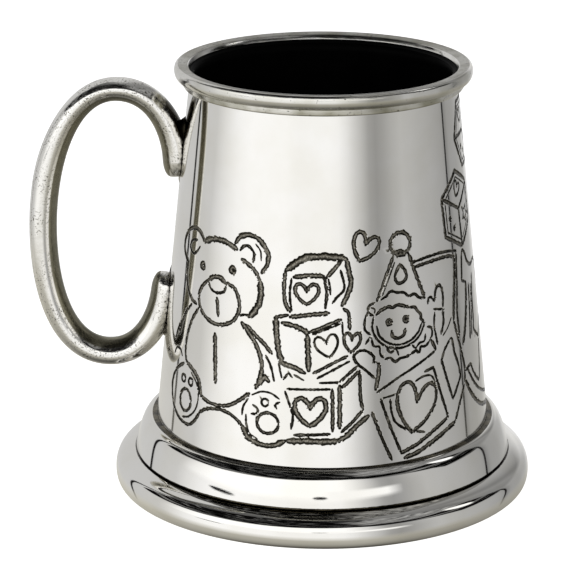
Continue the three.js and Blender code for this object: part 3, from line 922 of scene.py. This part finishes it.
def draw_clown_body():
    # hair at the left
    bend(0.6, (11.4, 51), (10.1, 50.4), (9.9, 49), (11, 48.2))
    bend(0.5, (9.8, 49), (9.1, 47.4), (9.1, 45.3), (10.2, 44.2))
    bend(0.4, (10.6, 50), (11.4, 49.6), (11.3, 48.8))
    # ruff
    bend(0.5, (9.2, 42.2), (10.3, 43.5), (10.9, 41.6), (12.2, 41.2), (12.3, 39.6), (13, 38.8))
    bend(0.6, (13.4, 38.4), (14.6, 38.5), (15.6, 37.5), (16.8, 38.1), (18.2, 38.2), (19.4, 38.5))
    bend(0.6, (19.4, 38.5), (20.8, 39.1), (21.6, 38.4), (22.2, 39.7), (23.4, 39.6), (24.5, 40.4))
    bend(0.5, (13.8, 40.9), (14.6, 39.7), (16, 40.2), (16.5, 38.9))
    bend(0.45, (20, 40.5), (20.8, 39.7), (21.8, 40.6), (23.2, 40.8), (23.6, 42.2))
    bend(0.5, (24.3, 43.7), (25.4, 43.3), (25.5, 41.6), (24.7, 40.7))
    # left hand and sleeve
    bend(0.6, (6.4, 39.7), (7.7, 40.7), (9.4, 40.6), (10.9, 39.2), (10.8, 38.1), (11.9, 37.7))
    bend(0.6, (6.4, 39.5), (7.4, 37.9), (9.2, 36.3), (10.9, 34.5))
    bend(1.0, (12, 37.6), (11.8, 35.2), (11.1, 32))
    bend(0.55, (11.4, 31.3), (16, 33.8), (20, 35.5), (24, 37.1), (26.2, 38))
    line(0.9, (25.2, 40.5), (26.3, 38.3))
    # raised right hand and arm
    bend(0.6, (24.8, 48.8), (25.2, 50), (26.1, 49.8), (26.8, 48.8))
    bend(0.75, (27, 49.2), (27.3, 51), (28.3, 52.1), (29.4, 51.3), (29.7, 49.2), (29.5, 47.2))
    line(0.45, (26.4, 47.2), (29.8, 46.4))
    bend(0.5, (26.7, 46.4), (26.3, 43.8), (26.6, 41.4), (27, 39.2))
    bend(0.7, (29.4, 46.2), (29.3, 43.6), (28.3, 41.2))
    bend(0.35, (32.2, 43.9), (30.6, 42), (28.9, 40.7))


def draw_jack_box():
    # open lid and back of the box
    bend(0.6, (20.6, 58.5), (26, 59), (31, 58.9), (36.3, 58))
    bend(0.8, (21.8, 57.5), (27, 57.8), (32, 57.7), (35.2, 56.9))
    bend(1.0, (35.2, 56.9), (34.6, 52.4), (33.6, 47.2), (33.1, 43.2))
    bend(0.8, (36.2, 57.6), (35.5, 50.6), (34.7, 44.4), (35, 39.2))
    bend(0.8, (33.1, 43), (33.9, 40), (35.2, 35.6), (36.1, 31.6), (35.8, 28.4))
    line(0.7, (31.2, 39.4), (29, 37.4), (27.9, 35.3), (29.3, 30.4), (30.8, 25.8))
    line(
        0.7, (30.8, 25.8), (32.6, 28.1), (34.2, 30.1),
        (33.6, 33), (32.4, 36), (31.9, 39.3), (31.2, 39.4),
    )
    # front face
    line(0.65, (12.1, 29.7), (14, 23.4), (16.2, 17.2))
    line(0.9, (16.3, 17.1), (20, 18.3), (24, 20.2), (28.7, 22.3))
    line(0.65, (28.8, 22.4), (27.2, 27.6), (25.3, 34.4), (22.9, 34))
    line(0.7, (10.2, 27), (12, 21.4), (14.1, 15.9))
    bend(1.1, (17, 15.9), (20, 16.5), (25, 18.4), (30.8, 20.5))
    line(0.75, (30.9, 20.4), (33, 24), (35.3, 27.6))
    line(0.4, (12.3, 29.8), (16, 30.4))
    heart(0.9, 20.2, 26.6, 9.6, 11.2, -14)
    bend(0.5, (14.2, 29.4), (14.4, 26.6), (15.2, 24.2), (17.2, 22.4), (19.6, 21.4), (22, 20.6))
    bend(0.4, (20.4, 32.4), (22.2, 33), (24.4, 32.8), (25.6, 31), (25.4, 28.6))


def draw_block_on_corner(s, z, size, lean_deg):
    """A tumbling block seen on its corner, with a plain shape on each face."""

    def at(turn_deg, share):
        turn = math.radians(turn_deg + lean_deg)
        return (s + size * share * math.cos(turn), z + size * share * math.sin(turn))

    outer = [at(60 * i, 1.0) for i in range(7)]
    line(1.0, *outer)
    line(0.35, *[at(60 * i, 0.84) for i in range(7)])
    for i in (1, 3, 5):
        line(0.9, (s, z), at(60 * i, 1.0))
    heart(0.6, *at(120, 0.52), size * 0.36, size * 0.4, lean_deg)
    star(0.5, *at(0, 0.52), size * 0.24, lean_deg)
    bead(*at(222, 0.55), size * 0.09)
    bead(*at(258, 0.55), size * 0.09)


def draw_rocking_horse():
    bend(0.9, (38, 50.6), (38.6, 54.4), (39.2, 57), (40.6, 56.6), (42.2, 54), (44.6, 52.7), (48, 53.1))
    bend(0.9, (48, 53.1), (53, 51.6), (58, 52.6), (61, 56), (63, 61), (65.4, 64.6), (66.4, 67.4))
    line(0.6, (38, 50.6), (40, 50))
    bend(1.2, (40.2, 49.8), (39.4, 45.4), (37.8, 40), (36.2, 36.7))
    bend(0.9, (41.8, 49), (41.2, 43), (40.2, 37))
    bend(0.7, (43.2, 48.4), (42.6, 43.4), (41.4, 37.4))
    bend(0.9, (45, 50.4), (43.9, 46), (43.4, 40.6), (43.2, 38), (46.6, 35.4))
    bend(
        0.8, (46.8, 35), (45.8, 30.6), (44.2, 26.4),
        (42.6, 26.8), (40.2, 29.4), (39.2, 31.2), (36.6, 30.6),
    )
    # rockers
    bend(
        1.1, (36, 28.5), (38.6, 24.5), (42.2, 21.3), (46.2, 19.5),
        (54, 17.9), (62, 18), (70, 20.4), (76, 25.6),
    )
    bend(
        0.8, (37.6, 30.4), (40.4, 26.6), (44, 23.8), (50, 21.4),
        (58, 20.4), (66, 21.6), (72, 24.6), (75, 28),
    )
    # belly, foreleg and chest
    bend(0.9, (46.8, 35), (49.4, 38.4), (54, 39), (58.4, 38))
    foreleg = [(58.4, 38), (60.6, 34.4), (63.6, 30), (66.6, 26.8), (69, 27.6), (67.6, 31.6)]
    bend(0.8, *foreleg, (65.6, 35.6))
    bend(0.9, (65.6, 35.6), (66.8, 40), (67.6, 45), (68, 49.6), (70.4, 52.6))
    # head
    bend(0.8, (66.4, 67.4), (67.8, 65.6), (71, 63), (74.6, 58.6), (75.6, 55.6), (73.8, 54), (70.4, 56))
    bend(0.7, (70.4, 56), (69.4, 54), (70.4, 52.6))
    bead(69.6, 60.4, 0.8)
    bend(0.6, (73, 56.4), (72, 57), (71.4, 58.2))
    # mane
    for i in range(5):
        bend(
            0.6, (59.4 + i * 1.3, 55 + i * 2.4),
            (57.6 + i * 1.3, 54 + i * 2.4), (57.8 + i * 1.2, 51.4 + i * 2.6),
        )
    # saddle
    bend(0.8, (50, 53), (50.6, 48.4), (52.6, 45.6), (56, 46), (58, 49), (58.2, 52.4))
    heart(0.6, 54.2, 49, 3.0, 3.0)


def draw_ball(s, z, radius):
    oval(1.0, s, z, radius, radius)
    bend(0.7, (s - radius, z + 1), (s - 1, z + radius * 0.42), (s + radius, z + 1.6))
    bend(0.7, (s - radius, z - 1.4), (s, z - radius * 0.5), (s + radius, z - 1))
    star(0.6, s, z + 0.2, radius * 0.34)


def draw_drum(s, z, half, high):
    oval(0.8, s, z + high, half, half * 0.3)
    bend(1.0, (s - half, z + high), (s - half, z + 1), (s - half * 0.5, z - 1.2), (s, z - 1.6))
    bend(1.0, (s, z - 1.6), (s + half * 0.5, z - 1.2), (s + half, z + 1), (s + half, z + high))
    zigzag = []
    for i in range(9):
        level = z + 0.6 if i % 2 else z + high - 2.6
        zigzag.append((s - half + i * half / 4, level - 1.4 * math.sin(math.pi * i / 8)))
    line(0.6, *zigzag)
    line(0.8, (s - 5, z + high + 6), (s + 1, z + high + 0.6))
    line(0.8, (s + 6.4, z + high + 6.4), (s + 0.6, z + high + 1))
    bead(s - 5.2, z + high + 6.4, 1.0)
    bead(s + 6.6, z + high + 6.8, 1.0)


def draw_kite(s, z):
    corners = [(s, z + 9), (s + 6, z + 2), (s - 1, z - 9), (s - 6, z + 1), (s, z + 9)]
    line(0.9, *corners)
    line(0.6, corners[0], corners[2])
    line(0.6, corners[1], corners[3])
    bend(0.5, corners[2], (s + 2, z - 13), (s - 2, z - 17), (s + 1.6, z - 21), (s, z - 24))
    for dx, dz in ((1.2, -12.6), (-1.4, -16.8), (1.1, -20.8)):
        line(0.7, (s + dx - 1.8, z + dz + 1.1), (s + dx, z + dz), (s + dx - 1.8, z + dz - 1.1))
        line(0.7, (s + dx + 1.8, z + dz + 1.1), (s + dx, z + dz), (s + dx + 1.8, z + dz - 1.1))


def draw_train(s):
    line(1.1, (s, 24), (s + 13, 24), (s + 13, 33), (s + 11, 33))
    line(
        1.1, (s, 24), (s, 45), (s - 1.6, 45), (s - 1.6, 47),
        (s + 9, 47), (s + 9, 45), (s + 7.4, 45), (s + 7.4, 24),
    )
    line(0.7, (s + 1.8, 42), (s + 5.8, 42), (s + 5.8, 35.6), (s + 1.8, 35.6), (s + 1.8, 42))
    bend(1.0, (s + 7.4, 33.6), (s + 11, 34), (s + 17, 33.6), (s + 19, 31), (s + 19, 27), (s + 17.6, 24))
    line(1.0, (s + 13, 24), (s + 20, 24), (s + 22.6, 19))
    line(0.9, (s + 12.4, 34), (s + 11.6, 40), (s + 16.4, 40), (s + 15.6, 34))
    oval(0.9, s + 3.8, 21.4, 4.0, 4.0)
    oval(0.7, s + 3.8, 21.4, 1.2, 1.2)
    oval(0.9, s + 14.6, 20.4, 3.0, 3.0)
    oval(0.6, s + 14.6, 20.4, 0.9, 0.9)
    oval(0.7, s + 14.8, 44.4, 1.8, 1.5)
    oval(0.8, s + 18, 48.6, 2.6, 2.1)
    oval(0.9, s + 22.6, 54, 3.4, 2.8)
    line(1.1, (s - 6, 23.6), (s, 23.6))
    line(1.0, (s - 20, 24), (s - 6, 24), (s - 6, 35), (s - 20, 35), (s - 20, 24))
    oval(0.8, s - 16, 20.8, 3.0, 3.0)
    oval(0.8, s - 9.6, 20.8, 3.0, 3.0)
    heart(0.9, s - 13, 29.4, 6.4, 6.2)
    star(0.7, s - 13, 39.6, 3.0, 10)


def draw_frieze():
    draw_teddy()
    draw_top_block()
    draw_middle_block()
    draw_bottom_block()
    heart(1.0, 9.4, 63.1, 5.8, 6.2, -22)
    draw_clown_head()
    draw_clown_body()
    draw_jack_box()
    draw_block_on_corner(39.4, 66.7, 8.6, -26)
    draw_block_on_corner(48.6, 82.6, 8.4, 4)
    draw_rocking_horse()
    draw_ball(84.4, 24.6, 7.0)
    draw_kite(84, 66)
    star(0.8, 72.6, 76.6, 3.0, 8)
    draw_train(114)
    heart(1.0, 103, 58, 6.4, 6.6, 14)
    star(0.8, 118, 66, 3.2)
    heart(0.8, 127, 77, 4.6, 4.8, -12)
    draw_drum(145.6, 20.6, 7.6, 14)
    star(0.8, 148, 56, 3.0, 14)


# ---- Cutting the strokes into the wall ---------------------------------------------------

STATION_STEP = 0.4
OPEN_SHEET_STEP = 1.7
GRID_CELL = 0.1
MARGIN = 0.12
EDGE_SHARE_LIMIT = 1.04
SEARCH_REACH = 1.3
SHEET_MARGIN = 0.3
WALL_COLUMNS = 200
WALL_ROWS = 40


def ragged(s, z, seed):
    return noise.noise(Vector((s * 1.9, z * 1.9, seed)))


def stations_of(width, points):
    """Evenly spaced (s, z, across s, across z, half width) along one stroke."""
    points = np.array(points)
    steps = np.hypot(*np.diff(points, axis=0).T)
    lengths = np.concatenate([[0], np.cumsum(steps)])
    total = lengths[-1]

    def spot(length):
        return np.array([np.interp(length, lengths, points[:, k]) for k in (0, 1)])

    made = []
    count = max(2, int(round(total / STATION_STEP)) + 1)
    for at in np.linspace(0, total, count):
        s, z = spot(at)
        tangent = spot(min(at + 0.1, total)) - spot(max(at - 0.1, 0))
        tangent /= max(1e-6, np.linalg.norm(tangent))
        from_end = min(at, total - at)
        taper = min(1.0, 0.6 + 0.9 * from_end / max(width, 0.3))
        half = (STROKE_GAIN * width + 0.03) * taper * (1 + 0.45 * ragged(s * 1.3, z * 1.3, width))
        sway = 0.3 * half * ragged(s * 1.1, z * 1.1, 3.0)
        made.append((s - sway * tangent[1], z + sway * tangent[0], -tangent[1], tangent[0], half))
    return made


def stroke_stations():
    """Every station and every stroke end, with s kept in one turn that starts at the handle."""
    found, ends = [], []
    for width, points in strokes:
        made = stations_of(width, points)
        made = [(s + SHEET_TURN if s < HANDLE_S else s, *rest) for s, *rest in made]
        found += made
        ends += [(made[0], -1), (made[-1], 1)]
    return found, ends


def sheet_points(stations, ends, low_s, high_s, tree):
    """Points of the unrolled sheet: rows along each stroke, and a plain net between strokes."""
    taken, points = set(), []

    def clear_of_cuts(s, z, way_s, way_z):
        """Steps outwards from a cut's edge until no cut covers the point."""
        for _ in range(6):
            if nearest_cut(s, z, stations, tree)[0] > EDGE_SHARE_LIMIT:
                return place(s, z)
            s += 0.5 * MARGIN * way_s
            z += 0.5 * MARGIN * way_z

    def place(s, z):
        cell = (round(s / GRID_CELL), round(z / GRID_CELL))
        across = low_s + SHEET_MARGIN < s < high_s - SHEET_MARGIN
        up = WALL_LOWER_EDGE_Z + SHEET_MARGIN < z < WALL_UPPER_EDGE_Z - SHEET_MARGIN
        if across and up and cell not in taken:
            taken.add(cell)
            points.append((s, z))

    for s, z, _, _, _ in stations:
        place(s, z)
    for s, z, a, b, half in stations:
        for side in (-half, half):
            place(s + side * a, z + side * b)
    rims = []
    for (s, z, a, b, half), way in ends:
        for turn in np.radians((-60, -30, 0, 30, 60)):
            ahead, across = way * math.cos(turn), math.sin(turn)
            rims.append((s, z, ahead * b + across * a, across * b - ahead * a, half))
    for s, z, a, b, half in rims:
        place(s + half * a, z + half * b)
    rims += [(s, z, side * a, side * b, half) for s, z, a, b, half in stations for side in (-1, 1)]
    for s, z, a, b, half in rims:
        reach = half + MARGIN
        clear_of_cuts(s + reach * a, z + reach * b, a, b)
    for s, z, a, b, half in stations:
        for side in (-0.55, 0.55):
            place(s + side * half * a, z + side * half * b)
    levels = np.arange(WALL_LOWER_EDGE_Z + 1.2, WALL_UPPER_EDGE_Z - 0.5, OPEN_SHEET_STEP * 0.87)
    for row, z in enumerate(levels):
        shift = OPEN_SHEET_STEP / 2 if row % 2 else 0
        for s in np.arange(low_s + 1.2 + shift, high_s - 1.0, OPEN_SHEET_STEP):
            if tree.find((s, z, 0))[2] > SEARCH_REACH:
                place(s, z)
    return points


def nearest_cut(s, z, stations, tree):
    """Distance to the nearest cut as a share of its half width, and that cut's width."""
    nearest, width = 9.0, 0.0
    for _, index, distance in tree.find_range((s, z, 0), SEARCH_REACH):
        half = stations[index][4]
        if distance / half < nearest:
            nearest, width = distance / half, 2 * half
    return nearest, width


def groove_at(s, z, stations, tree):
    """How deep the engraving is here in millimetres, and how far the patina covers it."""
    nearest, width = nearest_cut(s, z, stations, tree)
    if nearest > EDGE_SHARE_LIMIT:
        return 0.0, 0.0
    deepest = min(0.3, 0.07 + 0.24 * width)
    chatter = 1 + 0.5 * ragged(s * 1.5, z * 1.5, 7.0)
    black = max(fade(nearest, 0.75, 0.35), 0.85 * fade(width, 0.45, 0.95))
    return deepest * chatter * max(0.0, 1 - nearest) ** 0.7, 0.8 + 0.2 * black


def darker_beside_handle_ends(s, z):
    """Darker on the wall along both sides of the handle's ends."""
    beside = min(s - HANDLE_S, HANDLE_S + SHEET_TURN - s)
    by_end = max(fade(abs(z - 73.5), 5.5, 9), fade(abs(z - 41), 9, 12))
    return 0.38 * fade(beside, 4.2, 6.5) * by_end


def on_wall(s, z, depth):
    angle = s / SHEET_RADIUS
    r = wall_radius(z) - depth
    return (r * math.sin(angle), -r * math.cos(angle), z)


def sheet_border():
    """Grid places (column, row) once round the edge of the sheet."""
    right, top = WALL_COLUMNS - 1, WALL_ROWS - 1
    border = [(i, 0) for i in range(right)] + [(right, j) for j in range(top)]
    return border + [(i, top) for i in range(right, 0, -1)] + [(0, j) for j in range(top, 0, -1)]


def inner_faces(first, border, origins):
    """Faces of the plain inside grid, whose points start at first, and of the border strips.
    Origins says which given points each corner of the engraved sheet came from."""
    edge = [0] * len(border)
    for index, sources in enumerate(origins):
        for source in sources:
            if source < len(border):
                edge[source] = index
    faces = []
    for i in range(WALL_COLUMNS - 1):
        for j in range(WALL_ROWS - 1):
            a = first + i * WALL_ROWS + j
            faces.append((a, a + 1, a + WALL_ROWS + 1, a + WALL_ROWS))
    inner_edge = [first + i * WALL_ROWS + j for i, j in border]
    for i in range(len(border)):
        j = (i + 1) % len(border)
        faces.append((edge[j], edge[i], inner_edge[i], inner_edge[j]))
    return faces


def build_wall(outside, inside):
    """The engraved sheet outside, a plain grid inside, and strips that join their borders."""
    draw_frieze()
    stations, ends = stroke_stations()
    tree = kdtree.KDTree(len(stations))
    for index, (s, z, _, _, _) in enumerate(stations):
        tree.insert((s, z, 0), index)
    tree.balance()
    gap = SEAM_HALF_WIDTH * SHEET_RADIUS / wall_radius(50)
    low_s, high_s = HANDLE_S + gap, HANDLE_S + SHEET_TURN - gap
    columns = np.linspace(low_s, high_s, WALL_COLUMNS)
    rows = np.linspace(WALL_LOWER_EDGE_Z, WALL_UPPER_EDGE_Z, WALL_ROWS)
    border = sheet_border()
    flat = [(columns[i], rows[j]) for i, j in border]
    flat += sheet_points(stations, ends, low_s, high_s, tree)
    given = [Vector(p) for p in flat]
    corners, _, triangles, origins, _, _ = delaunay_2d_cdt(given, [], [], 0, 1e-6)
    cuts = [groove_at(s, z, stations, tree) for s, z in corners]
    points = [on_wall(s, z, depth) for (s, z), (depth, _) in zip(corners, cuts)]
    points += [on_wall(s, z, WALL_THICKNESS) for s in columns for z in rows]
    sheet = [tuple(t) for t in triangles]
    lining = inner_faces(len(corners), border, origins)
    kinds = [0] * len(sheet) + [1] * len(lining)
    look = ("polished_pewter", "body_wall", 89, kinds)
    wall = add_piece("wall", points, sheet + lining, [outside, inside], *look)
    tarnish = [patina for _, patina in cuts]
    clean = [0.0] * (len(points) - len(corners))
    store(wall, "tarnish", tarnish + clean)
    store(wall, "dirt", [darker_beside_handle_ends(*p) for p in corners] + clean)
    set_wall_normals(wall.data, corners, tarnish)


def set_wall_normals(mesh, corners, tarnish):
    """Exact cone normals on the plain sheet, so that its reflections run true."""
    lean = math.atan(WALL_TAPER)
    level = math.cos(lean)
    normals = [(0.0, 0.0, 0.0)] * len(mesh.vertices)
    for i, (s, _) in enumerate(corners):
        if tarnish[i] == 0:
            angle = s / SHEET_RADIUS
            normals[i] = (level * math.sin(angle), -level * math.cos(angle), math.sin(lean))
    mesh.normals_split_custom_set_from_vertices(normals)


# ---- Pieces ------------------------------------------------------------------------------

bright = polished_pewter("polished_pewter")
# The inside of the cup, its floor and the rim's inner stretch are painted near black as shade.
shade_dark = oxidised_pewter("oxidised_pewter")
joint_metal = soft_solder("solder", (0.58, 0.55, 0.47, 1), (0.12, 0.10, 0.07, 1), 1.3, 0.3)
# The foot's joints are dull solder painted near black as shade, where the wall meets the foot and in
# the crease between the tiers.
shaded_joint_metal = soft_solder("dark_solder", (0.12, 0.105, 0.07, 1), (0.02, 0.017, 0.011, 1), 0.3, 0.03)
build_wall(bright, shade_dark)
crest = brushed_pewter(
    "brushed_pewter", (0.50, 0.49, 0.455, 1), (0.24, 0.23, 0.18, 1), RIM_SHADE, 0.26, 0.42
)
bead_metal = brushed_pewter(
    "buffed_pewter", (0.72, 0.71, 0.68, 1), (0.58, 0.57, 0.51, 1), RIM_SHADE, 0.04, 0.09, 0.68
)
step = brushed_pewter(
    "dull_pewter", (0.74, 0.73, 0.69, 1), (0.36, 0.35, 0.28, 1), RIM_SHADE, 0.08, 0.2, 0.66
)
# The lip is painted black as shade in the patina colour.
lip = brushed_pewter("lip_pewter", PEWTER, (0.62, 0.61, 0.55, 1), PATINA_AND_SHADE_BLACK, 0.05, 0.11, 0.7)
build_rim([crest, bead_metal, step, lip, shade_dark])
build_floor(shade_dark)
build_floor_fillet(shade_dark)
build_collar(bright)
build_skirt(bright)
build_foot_joints(shaded_joint_metal)
build_handle(cast_pewter("cast_pewter"))
build_side_seam(joint_metal)
build_handle_joint("upper_joint", "upper_handle_solder", joint_metal, 68.6, 83.9, True)
build_handle_joint("lower_joint", "lower_handle_solder", joint_metal, 32.6, 49.6, False)

# ---- Studio ------------------------------------------------------------------------------

PEWTER_SHINE = 0.77
TENT_STRENGTH = 1.4
HAZE = 1.15
TABLE_TINT = (1.02, 0.99, 0.88)
TABLE_REACH = 3.0
CAMERA_PLACE = (0.00935, -0.5844, 0.2284)
CAMERA_LENS = 169.3
CAMERA_DOWN_DEG = 17.49
CAMERA_TURN_DEG = 0.78

# Brightness of the tent round the sides, as (azimuth in degrees, display level seen in pewter).
# Azimuth 0 is the camera's side and 90 the right. The two thin dark stops are the tent's seams.
TENT_LEFT = [
    (-180, 195), (-165, 190), (-128, 192), (-127.2, 186), (-126.7, 12), (-124.5, 12),
    (-124, 188), (-108, 195), (-98, 197), (-88, 218), (-79, 232), (-71, 241), (-60, 247),
    (-30, 247), (-20, 243), (0, 243),
]
TENT_RIGHT = [
    (0, 243), (5, 243), (12, 239), (19, 224), (25, 204), (31, 184), (37, 157), (43, 147),
    (50, 157), (57, 170), (66, 180), (75, 176), (85, 170), (94, 166), (105, 158), (112, 153),
    (116.0, 146), (116.6, 6), (118.1, 6), (118.8, 128), (120.6, 136), (124, 148), (129, 150),
    (136, 152), (152, 168), (166, 215), (180, 195),
]

# Height in degrees where the white sides end, and the display level of the opening above them.
TENT_TOP = [
    (-180, 62), (-121.5, 42), (-120.5, 19), (-95, 25), (-60, 31), (-30, 34), (0, 38), (20, 38),
    (35, 34), (60, 31), (76, 25), (84, 18), (100, 17), (117.5, 15), (119.5, 47), (180, 62),
]
TENT_OPENING = [
    (-180, 140), (-150, 99), (-122, 75), (-119, 14), (24, 14), (34, 150), (116, 150), (119, 111),
    (180, 140),
]

# Display level of the white table as the pewter shows it, by height in degrees.
TABLE_GLOW = [(-90, 60), (-68, 98), (-53, 135), (-38, 160), (-25, 174), (-14, 190)]

# The table's light as a share, by azimuth.
TABLE_SHARE = [(-112, 1.12), (-104, 1), (25, 1), (50, 0.8), (120, 0.72)]

# Share of the light lost high up in the tent's right rear corner, by azimuth.
REAR_SHADE = [(118, 0), (124, 0.3), (138, 0.25), (148, 0.5), (165, 0.5), (180, 0)]

# Small marks on the tent, as (azimuth, height, half width, half height).
DARK_MARKS = [(-1, 7, 4.5, 1.1), (-62, 1.1, 9, 1.0)]
BRIGHT_MARK = (98, 41, 8, 9)


def linear(level):
    level /= 255
    return ((level + 0.055) / 1.055) ** 2.4 if level > 0.04045 else level / 12.92


def tent_light(level):
    return linear(level) / PEWTER_SHINE / TENT_STRENGTH


def spot(azimuth, level, at_azimuth, at_level, half_wide, half_high):
    """Mask of a small oval mark, 1 inside and 0 outside."""
    across = (azimuth - at_azimuth) / half_wide
    up = (level - at_level) / half_high
    return (across * across + up * up).spread(0.7, 1.2, 1, 0)


def build_opening(azimuth, level):
    """Dark opening over the sides, with streaks of light from gaps in its edge."""
    streaks = join(azimuth * 0.035, level * 0.42).speckle(1.0, 3.0)
    front = azimuth.ramp([(-122, 0), (-119, 1), (116, 1), (119, 0)])
    far_up = level.spread(74, 82, 1, 0.12)
    closed = front * level.spread(45, 50, 1, 0)
    glow = azimuth.ramp(TENT_OPENING, tent_light) * far_up * (closed * -1.0 + 1.0)
    glow = front.mix(glow, glow * streaks.spread(0.36, 0.54, 0.06, 1.0))
    lit_edge = level.ramp([(31, 0), (33, 0.13), (35, 0.13), (37, 0)])
    thin = streaks.spread(0.57, 0.66, 0, 0.16) + lit_edge
    return glow + thin * (front * far_up)


def build_sides(azimuth, level):
    """The tent's white sides, with haze in front and a bright streak low down."""
    right_side = azimuth.math("GREATER_THAN", 0.0)
    left, right = azimuth.ramp(TENT_LEFT, tent_light), azimuth.ramp(TENT_RIGHT, tent_light)
    near = azimuth.ramp([(-95, 0), (-85, 1), (25, 1), (35, 0)])
    haze = near * level.spread(3, 8, 0, HAZE - 1) + 1.0
    dim = azimuth.ramp(REAR_SHADE) * level.spread(12, 20)
    streak = level.ramp([(4, 0), (7, 1), (12, 1), (15, 0)])
    streak = streak * azimuth.ramp([(0, 0), (6, 1), (40, 1), (50, 0)])
    return streak.mix(right_side.mix(left, right).tint(haze - dim), grey(tent_light(250)))


def build_light():
    """A soft tent: white in front and to the left, greyer to the right, open and dark above."""
    world = bpy.data.worlds.new("tent")
    bpy.context.scene.world = world
    world.use_nodes = True
    tree = world.node_tree
    x, y, z = parts(make(tree, "TexCoord", output="Generated"))
    azimuth = x.math("ARCTAN2", y * -1.0) * (180 / math.pi)
    level = z.math("ARCSINE") * (180 / math.pi)
    table = level.ramp(TABLE_GLOW, tent_light) * azimuth.ramp(TABLE_SHARE)
    table = table.tint(TABLE_TINT)
    lit = level.spread(-24, -13, 1, 0).mix(build_sides(azimuth, level), table)
    for mark in DARK_MARKS:
        lit = spot(azimuth, level, *mark).mix(lit, grey(0.004))
    top = azimuth.ramp(TENT_TOP, lambda height: height / 90) * 90.0
    colour = (level - top).spread(-1, 1).mix(lit, build_opening(azimuth, level))
    colour = spot(azimuth, level, *BRIGHT_MARK).mix(colour, grey(1.0))
    metal_light = make(tree, "Background", {"Color": colour, "Strength": TENT_STRENGTH})
    backdrop = make(tree, "Background", {"Color": grey(1.0), "Strength": 1.15})
    seen = make(tree, "LightPath", output="Is Camera Ray")
    mixed = make(tree, "MixShader", {0: seen, 1: metal_light, 2: backdrop})
    output = next(node for node in tree.nodes if node.type == "OUTPUT_WORLD")
    tree.links.new(mixed.socket, output.inputs["Surface"])


def build_table():
    material, place, shader = blank_material("pale_table")
    shade = place.speckle(0.02).spread(0.3, 0.7, 0.86, 0.9)
    shade.tree.links.new(shade.socket, shader.inputs["Base Color"])
    shader.inputs["Roughness"].default_value = 0.6
    shader.inputs["Emission Color"].default_value = grey(1.0)
    shader.inputs["Emission Strength"].default_value = 0.9
    mesh = bpy.data.meshes.new("table_top")
    sides = [(x * TABLE_REACH, y * TABLE_REACH, 0) for x, y in ((-1, -1), (1, -1), (1, 1), (-1, 1))]
    mesh.from_pydata(sides, [], [(0, 1, 2, 3)])
    mesh.materials.append(material)
    table = bpy.data.objects.new("table_top", mesh)
    bpy.context.scene.collection.objects.link(table)
    table.visible_glossy = False


def build_camera():
    camera = bpy.data.cameras.new("camera")
    camera.sensor_width = 36
    camera.lens = CAMERA_LENS
    camera.clip_start, camera.clip_end = 0.05, 20
    viewer = bpy.data.objects.new("camera", camera)
    viewer.location = CAMERA_PLACE
    viewer.rotation_euler = (math.radians(90 - CAMERA_DOWN_DEG), 0, math.radians(CAMERA_TURN_DEG))
    bpy.context.scene.collection.objects.link(viewer)
    bpy.context.scene.camera = viewer


build_light()
build_table()
build_camera()
bpy.context.scene.view_settings.view_transform = "Standard"
